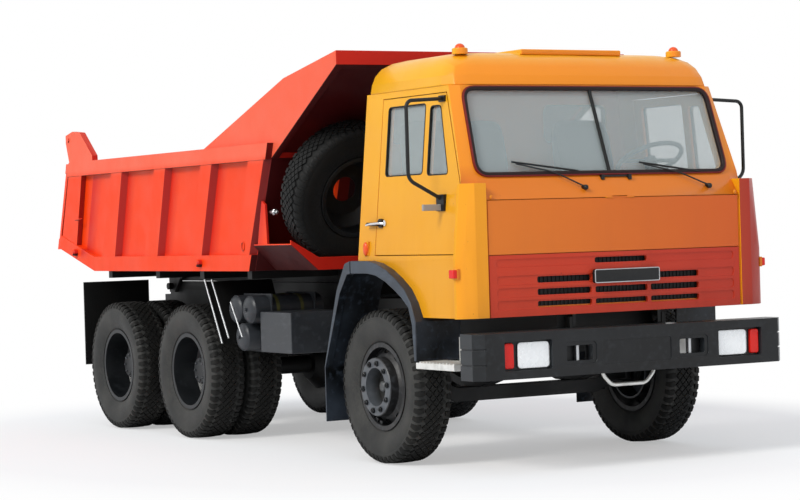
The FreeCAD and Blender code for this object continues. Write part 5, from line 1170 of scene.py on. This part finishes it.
    def wipers(self, shop: Workshop) -> None:
        """Lay the two wipers over the screen's foot.

        Args:
            shop: the workshop that makes and dresses the pieces.
        """
        parts = []
        for pivot, middle, tip in (((-0.244, 1.791), (-0.430, 1.892), (-0.704, 1.951)),
                                   ((0.768, 1.786), (0.560, 1.880), (0.279, 1.937))):
            spots = np.array([pivot, middle, tip])
            x, z = spots[:, 0], spots[:, 1]
            lid_y = at(-1.198) + (z - 1.725) * 0.71 + 0.04 * np.abs(x)
            y = np.where(z > self.screen_low, self.front_y(x, z), lid_y) - 0.028
            path = smooth_path(np.stack([x, y, z], axis=-1).tolist(), 0.06)
            parts.append(swept(path, oblong(0.010, 0.007, 0.003), (0, -1, 0)))
            blade_x = np.linspace(tip[0] - 0.02, tip[0] + 0.46, 10)
            blade_z = np.linspace(tip[1] + 0.012, tip[1] - 0.052, 10)
            blade_y = self.front_y(blade_x, np.maximum(blade_z, self.screen_low)) - 0.016
            blade = np.stack([blade_x, blade_y, blade_z], axis=-1)
            parts.append(swept(blade, oblong(0.012, 0.016, 0.004), (0, -1, 0)))
            parts.append(plug([(-0.03, 0.017), (0.012, 0.017), (0.02, 0.010)], 12).turned(
                clockwise("Z")).moved(pivot[0], y[0] + 0.012, pivot[1]))
        shop.piece("wipers", joined(parts), "cab", Look.BLACK, angle=40)

    def front_trim(self, shop: Workshop) -> None:
        """Add the blank name plate, the rest bar under the screen and the small fastenings.

        Args:
            shop: the workshop that makes and dresses the pieces.
        """
        plate = domed_plate(oblong(0.520, 0.088, 0.012) + np.array([0.022, 1.2195]), 0.004, 0.018)
        shop.piece("blank_plate", plate.moved(y=at(-1.2195)), "cab", Look.BLACK)
        rim = smooth_path([(-0.232, 0, 1.178), (0.276, 0, 1.178), (0.276, 0, 1.261), (-0.232, 0, 1.261),
                           (-0.232, 0, 1.178), (0.276, 0, 1.178)], 0.010, 3)[1:-1]
        shop.piece("blank_plate_rim", swept(rim + np.array([0, at(-1.2225), 0]), oblong(0.007, 0.006, 0.002),
                                            (0, -1, 0), closed=True), "cab", Look.STEEL)
        bar_x = np.linspace(*self.rest_ends, 8)
        bar = np.stack([bar_x, at(-1.098) + 0.05 * np.abs(bar_x) - 0.012, np.full(8, 1.862)], axis=-1)
        parts = [swept(bar, oblong(0.012, 0.010, 0.003), (0, -1, 0))]
        for x in self.rest_ends:
            parts.append(block((x - 0.012, x + 0.012), (at(-1.122), at(-1.085)), (1.838, 1.872)))
        shop.piece("screen_rest", joined(parts), "cab", Look.BLACK, bevel=0.002)
        net_x = np.linspace(-self.net_half, self.net_half, 31)
        net = np.stack([net_x, at(-1.156) + 0.043 * np.abs(net_x), np.full(31, 1.204)], axis=-1)
        sheets = [swept(net, oblong(0.324, 0.003, 0.001), (0, -1, 0))]
        for x in np.linspace(-0.90, 0.90, 61):
            y = at(-1.164) + 0.043 * abs(x)
            sheets.append(block((x - 0.002, x + 0.002), (y, y + 0.006), self.net_levels))
        shop.piece("grille_net", joined(sheets), "cab", Look.NET)
        heads = []
        for sign in (-1, 1):
            for z in self.hinge_levels:
                x = sign * (self.side_x(np.array(z)) + 0.026)
                heads.append(bolt_head((sign, -0.1, 0), (x, at(-1.062), z), 0.009))
            heads.append(bolt_head((0, -1, 0), (sign * 0.965, at(-1.160), 1.742), 0.011))
        shop.piece("cab_bolts", joined(heads), "cab", Look.CAB)

    def lamps(self, shop: Workshop) -> None:
        """Build the side markers, the rear markers and the roof lamps, each a lens on a base.

        Args:
            shop: the workshop that makes and dresses the pieces.
        """
        lenses, bases, discs = [], [], []
        for sign in (1, -1):
            lens = block((1.209, 1.238), (at(-1.126), at(-1.066)), (1.240, 1.294))
            base = block((1.190, 1.212), (at(-1.128), at(-1.060)), (1.234, 1.300))
            roof_lens = lathe([(0.0, 0.034), (0.012, 0.0335), (0.024, 0.028), (0.033, 0.017), (0.0365, 0.005)], 28)
            roof_lens = roof_lens.turned(clockwise("Y")).moved(*self.roof_lamp, 2.707)
            plinth = plug([(-0.03, 0.052), (0.006, 0.052), (0.011, 0.046)], 28)
            plinth = plinth.turned(clockwise("Y")).moved(*self.roof_lamp, 2.703)
            y, z = self.rear_marker
            foot = float(self.side_x(np.array(z)))
            disc = plug([(0, 0.040), (0.008, 0.040), (0.014, 0.034), (0.018, 0.020), (0.019, 0.004)], 28)
            disc = Shape(disc.points * np.array([1, 0.62, 1.15]), disc.faces).moved(foot + 0.0085, y, z)
            plate = block((foot - 0.004, foot + 0.010), (at(0.078), at(0.132)), (1.382, 1.480))
            lenses.append(on_side(lens, sign))
            discs += [on_side(shape, sign) for shape in (roof_lens, disc)]
            bases += [on_side(shape, sign) for shape in (base, plinth, plate)]
        shop.piece("side_marker_lenses", joined(lenses), "cab", Look.RED_LENS, bevel=0.006,
                   replaces=("cab_lamps",))
        shop.piece("marker_lenses", joined(discs), "cab", Look.ORANGE_LENS, replaces=("cab_lamps",))
        shop.piece("marker_bases", joined(bases), "cab", Look.CAB, bevel=0.004, replaces=("cab_lamps",))
        label = block((1.136, 1.268), (at(-0.838), at(-0.818)), (1.668, 1.708))
        shop.piece("mirror_plate_blank", label.mirrored(), "door_right", Look.LABEL, bevel=0.003)

    def handles(self, shop: Workshop) -> None:
        """Lay a bright pressed bar over each door handle, with its lock button.

        Args:
            shop: the workshop that makes and dresses the pieces.
        """
        for side, sign in SIDES:
            z = self.handle_level
            x = float(self.side_x(np.array(z)))
            path = smooth_path([(x + 0.008, at(-0.105), z - 0.003), (x + 0.030, at(-0.080), z),
                                (x + 0.036, at(0.020), z - 0.004), (x + 0.026, at(0.085), z - 0.010)], 0.02)
            bar = swept(path, oblong(0.016, 0.026, 0.006), (1, 0, 0))
            button = plug([(0, 0.020), (0.010, 0.020), (0.014, 0.013)], 18).moved(x + 0.001, at(-0.115), z)
            both = joined([bar, button])
            shop.piece(f"door_handle_{side}_bar", on_side(both, sign), f"door_{side}", Look.CHROME)

    def build(self, shop: Workshop) -> None:
        """Dress every part of the cab.

        Args:
            shop: the workshop that makes and dresses the pieces.
        """
        shop.softened("cab_shell", "cab", Look.CAB, 0.006)
        shop.softened("cab_roof", "cab", Look.CAB, 0.010, 30.0)
        shop.softened("service_lid", "lid", Look.LID, 0.004)
        shop.softened("grille_panel", "cab", Look.GRILLE, 0.003)
        shop.softened("corner_deflectors", "cab", Look.DEFLECTOR, 0.008, 26.0)
        shop.softened("front_arches", "cab", Look.FENDER, 0.020, 30.0, 4)
        for side in ("left", "right"):
            shop.softened(f"door_{side}", f"door_{side}", Look.CAB, 0.004)
            shop.softened(f"door_fittings_{side}", f"door_{side}", Look.BLACK, 0.003)
            shop.finish_node(f"door_glass_{side}", Look.WINDOW)
        shop.finish_node("cab_glass", Look.WINDOW)
        self.screen(shop)
        self.door_seals(shop)
        self.wipers(shop)
        self.front_trim(shop)
        self.lamps(shop)
        self.handles(shop)


@dataclass
class Cabin:
    """What shows through the glass: the seats and the dashboard."""

    seats: tuple[tuple[float, float], ...] = ((0.333, 0.827), (-0.897, -0.490), (-0.480, -0.063))
    bases: tuple[tuple[float, float], ...] = ((0.33, 0.83), (-0.90, -0.06))
    seat_side: tuple[tuple[float, float], ...] = (
        (at(-0.555), 1.53), (at(-0.555), 1.69), (at(-0.52), 1.73), (at(-0.30), 1.725), (at(-0.09), 1.70),
        (at(0.0), 1.64), (at(-0.02), 1.53))
    back_side: tuple[tuple[float, float], ...] = (
        (at(-0.08), 1.70), (at(-0.04), 2.00), (at(0.03), 2.26), (at(0.06), 2.285), (at(0.10), 2.27),
        (at(0.115), 2.24), (at(0.08), 1.90), (at(0.04), 1.66), (at(-0.02), 1.64))

    def cushion(self, x: tuple[float, float], spots: tuple[tuple[float, float], ...], swell: float) -> Shape:
        """Sweep a closed side outline across X, at a share u of the way scaled about its middle.

        The scale is 1 - 0.10 (2u - 1)^6 + swell (1 - (2u - 1)^4), which rounds the ends and crowns the middle.

        Args:
            x: its limits along X.
            spots: the outline's corners as (y, z).
            swell: how much wider the outline gets in the middle, as a share.

        Returns:
            The cushion.
        """
        line = np.array(spots, dtype=float)
        middle = line.mean(axis=0)
        rows = []
        for u in np.linspace(0, 1, 9):
            grow = 1 - 0.10 * (2 * u - 1) ** 6 + swell * (1 - (2 * u - 1) ** 4)
            ring = middle + (line - middle) * grow
            rows.append(np.stack([np.full(len(ring), x[0] + u * (x[1] - x[0])), ring[:, 0], ring[:, 1]], axis=-1))
        return grid(np.array(rows), wrap_v=True, caps=True)

    def build(self, shop: Workshop) -> None:
        """Build the padded seats and finish the dashboard.

        Args:
            shop: the workshop that makes and dresses the pieces.
        """
        shop.softened("dashboard", "cab", Look.DASH, 0.008)
        shapes = []
        for low, high in self.seats:
            shapes.append(self.cushion((low, high), self.seat_side, 0.02))
            shapes.append(self.cushion((low + 0.01, high - 0.01), self.back_side, 0.02))
        pads = shop.piece("seat_pads", joined(shapes), "cab", Look.SEAT, replaces=("seats",))
        modifier = pads.modifiers.new("soft", "SUBSURF")
        modifier.levels = modifier.render_levels = 1
        bases = [block((low + 0.06, high - 0.06), (at(-0.48), at(-0.06)), (1.301, 1.54))
                 for low, high in self.bases]
        shop.piece("seat_bases", joined(bases), "cab", Look.BLACK, bevel=0.01)


@dataclass
class Bumper:
    """The bumper's skin, its lamps, its tow pins and the steps."""

    face_y: float = at(-1.338)
    lamp_spot: tuple[float, float] = (0.7845, 0.750)
    lamp_size: tuple[float, float, float] = (0.236, 0.162, 0.022)
    indicator_spot: tuple[float, float] = (0.968, 0.750)
    indicator_size: tuple[float, float, float] = (0.070, 0.162, 0.012)
    tail_levels: tuple[float, float] = (0.820, 0.920)
    pin_spot: tuple[float, float] = (0.4435, 0.698)
    tow_holes: tuple[tuple[float, float], ...] = ((0.325, 0.363), (0.437, 0.562))
    tow_levels: tuple[float, float] = (0.676, 0.814)
    tread: tuple[float, float] = (1.004, 1.212)
    teeth_on_step: int = 11
    tooth_pitch: float = 0.040

    def lamp(self, sign: int) -> tuple[Shape, Shape, Shape]:
        """Return a headlamp's reflector, its glass and the indicator's lens, on one side.

        Args:
            sign: 1 for the left side and -1 for the right.

        Returns:
            The three shapes.
        """
        outline = oblong(*self.lamp_size)
        glass = domed_plate(outline + np.array(self.lamp_spot), 0.020, 0.004).moved(y=self.face_y + 0.026)
        rows = []
        for depth, share in ((0.0, 0.99), (0.006, 0.93), (0.009, 0.6), (0.010, 0.2)):
            ring = outline * share + np.array(self.lamp_spot)
            rows.append(np.stack([ring[:, 0], np.full(len(ring), self.face_y + 0.027 + depth), ring[:, 1]], axis=-1))
        bowl = grid(np.array(rows)[:, ::-1], wrap_v=True, caps=True)
        lens = domed_plate(oblong(*self.indicator_size) + np.array(self.indicator_spot), 0.012, 0.012)
        return on_side(bowl, sign), on_side(glass, sign), on_side(lens.moved(y=self.face_y + 0.030), sign)

    def lights(self, shop: Workshop) -> None:
        """Build the headlamps, the indicators and the tail lamps.

        Args:
            shop: the workshop that makes and dresses the pieces.
        """
        for side, sign in SIDES:
            bowl, glass, lens = self.lamp(sign)
            shop.piece(f"headlamp_{side}_bowl", bowl, "chassis", Look.REFLECTOR, replaces=("lamps",))
            shop.piece(f"headlamp_{side}_glass", glass, "chassis", Look.LAMP_GLASS, replaces=("lamps",))
            shop.piece(f"indicator_{side}_lens", lens, "chassis", Look.RED_LENS, replaces=("lamps",))
        for name, look, low, high, front, rear in (
                ("housings", Look.BLACK, 0.700, 1.010, 4.792, 4.836),
                ("stop_lenses", Look.RED_LENS, 0.894, 1.004, 4.834, 4.849),
                ("turn_lenses", Look.ORANGE_LENS, 0.784, 0.890, 4.834, 4.849),
                ("reverse_lenses", Look.LAMP_GLASS, 0.706, 0.780, 4.834, 4.849)):
            inset = 0.0 if name == "housings" else 0.006
            foot, top = self.tail_levels
            form = block((low, high), (at(front), at(rear)), (foot + inset, top - inset))
            shop.piece(f"tail_{name}", joined(paired(form)), "chassis", look, bevel=0.004,
                       replaces=("lamps",))

    def tow_gear(self, shop: Workshop) -> None:
        """Stand the tow pins in their holes and close the holes' backs.

        Args:
            shop: the workshop that makes and dresses the pieces.
        """
        x, z = self.pin_spot
        pins = [plug([(0, 0.014), (0.094, 0.014)], 14).turned(clockwise("Y"))
                .moved(sign * x, self.face_y + 0.040, z) for sign in (-1, 1)]
        shop.piece("tow_pins", joined(pins), "chassis", Look.STEEL)
        backs = []
        for hole in self.tow_holes:
            back = block(hole, (self.face_y + 0.064, self.face_y + 0.068), self.tow_levels)
            backs += paired(back)
        shop.piece("tow_backs", joined(backs), "chassis", Look.BLACK, bevel=0.001)

    def teeth(self, shop: Workshop) -> None:
        """Raise a row of teeth across each step's tread.

        Args:
            shop: the workshop that makes and dresses the pieces.
        """
        teeth = []
        for sign in (-1, 1):
            for k in range(self.teeth_on_step):
                y = at(-1.052) + self.tooth_pitch * k
                teeth.append(on_side(block(self.tread, (y, y + 0.012), (0.699, 0.708)), sign))
        shop.piece("step_teeth", joined(teeth), "chassis", Look.RUSTY, bevel=0.002)

    def build(self, shop: Workshop) -> None:
        """Dress the bumper, the lamps and the steps.

        Args:
            shop: the workshop that makes and dresses the pieces.
        """
        shop.softened("bumper", "chassis", Look.BUMPER, 0.008, 28.0, 3)
        shop.softened("steps", "chassis", Look.RUSTY, 0.003)
        self.lights(shop)
        self.tow_gear(shop)
        self.teeth(shop)


@dataclass
class Bed:
    """The bed's skin and the small things fixed to it."""

    lug_x: float = 1.2495
    lugs: tuple[tuple[float, float], ...] = ((2.446, 1.345), (4.826, 1.440))
    ring_spot: tuple[float, float, float] = (1.246, at(1.739), 1.465)
    hook: tuple[tuple[float, float, float], ...] = (
        (1.246, at(4.700), 1.720), (1.268, at(4.705), 1.716), (1.272, at(4.790), 1.712), (1.246, at(4.800), 1.716))
    clamp_spot: tuple[float, float] = (-1.196, 1.705)

    def fastenings(self, shop: Workshop) -> None:
        """Fix the lugs, the rings and the rope hooks to both sides, and the spare wheel's clamp.

        Args:
            shop: the workshop that makes and dresses the pieces.
        """
        parts = []
        for sign in (-1, 1):
            lug = plug([(0, 0.030), (0.030, 0.028), (0.042, 0.018)], 16)
            for station, z in self.lugs:
                parts.append(on_side(lug.moved(self.lug_x, at(station), z), sign))
            ring = lathe([(0, 0.034), (0.004, 0.036), (0.006, 0.028), (0.003, 0.024)], 24)
            ring = Shape(ring.points * np.array([1, 0.7, 1]), ring.faces).moved(*self.ring_spot)
            parts.append(on_side(ring, sign))
        shop.piece("bed_lugs", joined(parts), "bed", Look.BED)
        hook = swept(smooth_path(list(self.hook), 0.014), circle(0.006, 8), (1, 0, 0))
        shop.piece("rope_hooks", joined([on_side(hook, sign) for sign in (-1, 1)]), "bed", Look.BED)
        bolt = plug([(0, 0.012), (0.110, 0.012), (0.114, 0.008)], 14).turned(clockwise("Z"))
        nut = hexagon_nut(0.024, 0.022, 0.012, 0.022).turned(clockwise("Z"))
        x, z = self.clamp_spot
        clamp = joined([bolt.moved(x, at(1.392), z), nut.moved(x, at(1.330), z)])
        shop.piece("spare_clamp", clamp, "bed", Look.STEEL)

    def build(self, shop: Workshop) -> None:
        """Dress the bed, the tailgate and the spare wheel's cradle.

        Args:
            shop: the workshop that makes and dresses the pieces.
        """
        shop.softened("bed_shell", "bed", Look.BED, 0.005)
        shop.softened("bed_side_frames", "bed", Look.BED, 0.007, 20.0)
        shop.softened("bed_underframe", "bed", Look.FRAME, 0.004)
        shop.softened("spare_cradle", "bed", Look.BED, 0.004)
        shop.softened("tailgate", "tailgate", Look.BED, 0.006)
        self.fastenings(shop)


@dataclass
class Running:
    """The frame, axles, tanks, flaps and hoist."""

    air_tanks: tuple[tuple[float, float], ...] = ((1.890, 1.000), (2.115, 1.000), (2.010, 0.795))
    tank_end_x: float = -1.1295
    strap_places: tuple[float, float] = (-0.760, -0.960)
    strap_width: float = 0.026
    strap_radii: tuple[float, float] = (0.1025, 0.1055)
    rod_x: float = -1.205
    rods: tuple[tuple[tuple[float, float], tuple[float, float]], ...] = (
        ((2.480, 1.220), (2.210, 0.745)), ((2.360, 1.220), (2.100, 0.789)), ((2.050, 1.056), (1.877, 0.802)))

    def small_parts(self, shop: Workshop) -> None:
        """Hang the flaps' rods and put straps and ends on the air tanks.

        Args:
            shop: the workshop that makes and dresses the pieces.
        """
        rods = []
        for top, foot in self.rods:
            path = np.array([[self.rod_x, at(top[0]), top[1]], [self.rod_x, at(foot[0]), foot[1]]])
            rods.append(swept(path, circle(0.0075, 10), (1, 0, 0)))
        shop.piece("flap_rods", joined(rods), "chassis", Look.STEEL)
        inner, outer = self.strap_radii
        straps, ends = [], []
        for station, height in self.air_tanks:
            for x in self.strap_places:
                far = x + self.strap_width
                ring = lathe([(x, inner), (far, inner), (far, outer), (x, outer)], 40, closed=True)
                straps.append(ring.moved(0, at(station), height))
            dome = plug([(0, 0.1), (0.012, 0.092), (0.022, 0.070), (0.029, 0.040), (0.031, 0.014)], 32)
            cap = plug([(0, 0.014), (0.014, 0.014), (0.018, 0.008)], 12).moved(0.030)
            ends.append(joined([dome, cap]).mirrored().moved(self.tank_end_x, at(station), height))
        shop.piece("tank_straps", joined(straps), "chassis", Look.STRAP)
        shop.piece("tank_ends", joined(ends), "chassis", Look.TANK)

    def build(self, shop: Workshop) -> None:
        """Dress everything below the bed and the cab.

        Args:
            shop: the workshop that makes and dresses the pieces.
        """
        for node, width in (("frame", 0.004), ("tipper_subframe", 0.004), ("leaf_springs", 0.004),
                            ("front_axle_beam", 0.006), ("driveline", 0.006), ("drive_axles", 0.006),
                            ("crossmembers", 0.004)):
            shop.softened(node, "chassis", Look.FRAME, width)
        for node in ("fuel_tank", "battery_box", "air_tanks"):
            shop.softened(node, "chassis", Look.TANK, 0.006)
        shop.softened("mudflaps", "chassis", Look.FLAP, 0.003)
        shop.softened("rear_arches", "chassis", Look.FENDER, 0.020, 30.0, 4)
        for side in ("left", "right"):
            shop.softened(f"knuckle_{side}", f"knuckle_{side}", Look.FRAME, 0.003)
        shop.softened("tie_rod", "tie_rod", Look.FRAME, 0.003)
        shop.finish_node("hoist_barrel", Look.FRAME)
        for stage in range(1, 5):
            shop.finish_node(f"hoist_stage_{stage}", Look.HOIST)
        self.small_parts(shop)


def aimed(right: np.ndarray, up: np.ndarray, forward: np.ndarray, spot: tuple[float, float, float]) -> Matrix:
    """Place a camera or lamp, which looks along its own minus Z.

    Args:
        right: the direction to its right.
        up: the direction above it.
        forward: the direction that it looks in.
        spot: where it stands.

    Returns:
        The placement.
    """
    place = np.eye(4)
    place[:3, :3] = np.stack([right, up, -forward], axis=-1)
    place[:3, 3] = spot
    return Matrix(place.tolist())


def unit(vector: np.ndarray | tuple[float, float, float]) -> np.ndarray:
    """Return a vector's direction, with a length of 1."""
    line = np.array(vector, dtype=float)
    return line / np.linalg.norm(line)


@dataclass
class Studio:
    """The floor, the light and the camera, which was solved from the photograph."""

    spot: tuple[float, float, float] = (-8.928, -15.4601, 1.5648)
    forward: tuple[float, float, float] = (0.50693, 0.86196, -0.00742)
    roll: float = -1.71
    lens: float = 105.61
    shift: tuple[float, float] = (0.006025, -0.0055)
    floor_half: float = 60.0
    shadow_kept: float = 0.42

    def camera(self) -> None:
        """Stand the camera where the photograph was taken from."""
        forward = unit(self.forward)
        level = unit(np.cross(forward, [0, 0, 1]))
        roll = math.radians(self.roll)
        right = math.cos(roll) * level + math.sin(roll) * np.cross(level, forward)
        data = bpy.data.cameras.new("camera")
        data.sensor_width = 36.0
        data.lens = self.lens
        data.shift_x, data.shift_y = self.shift
        data.clip_end = 500.0
        thing = bpy.data.objects.new("camera", data)
        thing.matrix_world = aimed(right, np.cross(right, forward), forward, self.spot)
        bpy.context.collection.objects.link(thing)
        bpy.context.scene.camera = thing

    def floor(self) -> None:
        """Lay a pale floor that fades to white away from the lorry and keeps its shadow."""
        mesh = bpy.data.meshes.new("floor")
        half = self.floor_half
        mesh.from_pydata([(-half, -half, 0), (half, -half, 0), (half, half, 0), (-half, half, 0)], [], [(0, 1, 2, 3)])
        thing = bpy.data.objects.new("floor", mesh)
        bpy.context.collection.objects.link(thing)
        s = Sketch("floor_pale")
        diffuse = s.add("BsdfDiffuse", {"Color": linear("F2F2F3")})
        white = s.add("Emission", {"Color": (1, 1, 1, 1), "Strength": 1.0})
        oval = s.add("Mapping", {"Vector": s.place, "Scale": (0.26, 0.20, 1)})
        away = s.add("VectorMath", {0: oval}, operation="LENGTH").outputs["Value"]
        fade = s.add("MapRange", {0: away, 1: 0.55, 2: 1.15}, interpolation_type="SMOOTHSTEP")
        share = s.add("Math", {0: fade, 1: self.shadow_kept}, operation="MAXIMUM")
        seen = s.add("LightPath").outputs["Is Camera Ray"]
        share = s.add("Math", {0: share, 1: seen}, operation="MULTIPLY")
        mesh.materials.append(s.finish(s.add("MixShader", {0: share, 1: diffuse, 2: white})))

    def world(self) -> None:
        """Light the scene from a pale sky that shows white to the camera, in reflections and through glass."""
        world = bpy.data.worlds.new("studio")
        world.use_nodes = True
        s = Nodes(world.node_tree)
        rise = s.add("SeparateXYZ", {0: s.add("TexCoord").outputs["Generated"]}).outputs[2]
        glow = s.add("MapRange", {0: rise, 1: -0.1, 2: 0.9, 3: 0.40, 4: 0.78})
        sky = s.add("Background", {0: (0.88, 0.93, 1.0, 1.0), 1: glow})
        white = s.add("Background", {0: (1, 1, 1, 1), 1: 1.0})
        rays = s.add("LightPath").outputs
        seen: object = rays["Is Camera Ray"]
        for kind in ("Is Glossy Ray", "Is Transmission Ray"):
            seen = s.add("Math", {0: seen, 1: rays[kind]}, operation="MAXIMUM")
        s.add("OutputWorld", {0: s.add("MixShader", {0: seen, 1: sky, 2: white})})
        bpy.context.scene.world = world

    def lamp(self, name: str, strength: float, colour: tuple[float, float, float], spread: float,
             toward: tuple[float, float, float]) -> None:
        """Add a sun whose light travels towards a direction.

        Args:
            name: the lamp's name.
            strength: its strength.
            colour: its colour in linear light.
            spread: how wide it looks, in degrees, which softens its shadows.
            toward: the direction that its light travels in.
        """
        data = bpy.data.lights.new(name, "SUN")
        data.energy = strength
        data.color = colour
        data.angle = math.radians(spread)
        thing = bpy.data.objects.new(name, data)
        aim = unit(toward)
        side = unit(np.cross(aim, [0, 0, 1]))
        thing.matrix_world = aimed(side, np.cross(side, aim), aim, (0, 0, 0))
        bpy.context.collection.objects.link(thing)

    def build(self) -> None:
        """Set up the whole studio."""
        self.camera()
        self.floor()
        self.world()
        self.lamp("key", 2.0, (1.0, 0.98, 0.94), 20, (0.80, 0.22, -0.62))
        self.lamp("fill", 0.32, (1.0, 1.0, 1.0), 60, (0.25, 0.85, -0.45))
        bpy.context.scene.view_settings.view_transform = "Standard"


def main() -> None:
    """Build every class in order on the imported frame."""
    logging.basicConfig(level=logging.INFO, format="%(name)s: %(message)s")
    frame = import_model()
    shop = Workshop(frame)
    for part in (Tyres(), Wheels(), Cab(), Cabin(), Bumper(), Bed(), Running()):
        part.build(shop)
        LOG.info("finished %s", type(part).__name__)
    Studio().build()
    bpy.context.view_layer.update()
    LOG.info("pieces made: %d", len(shop.made))


if __name__ == "__main__":
    main()
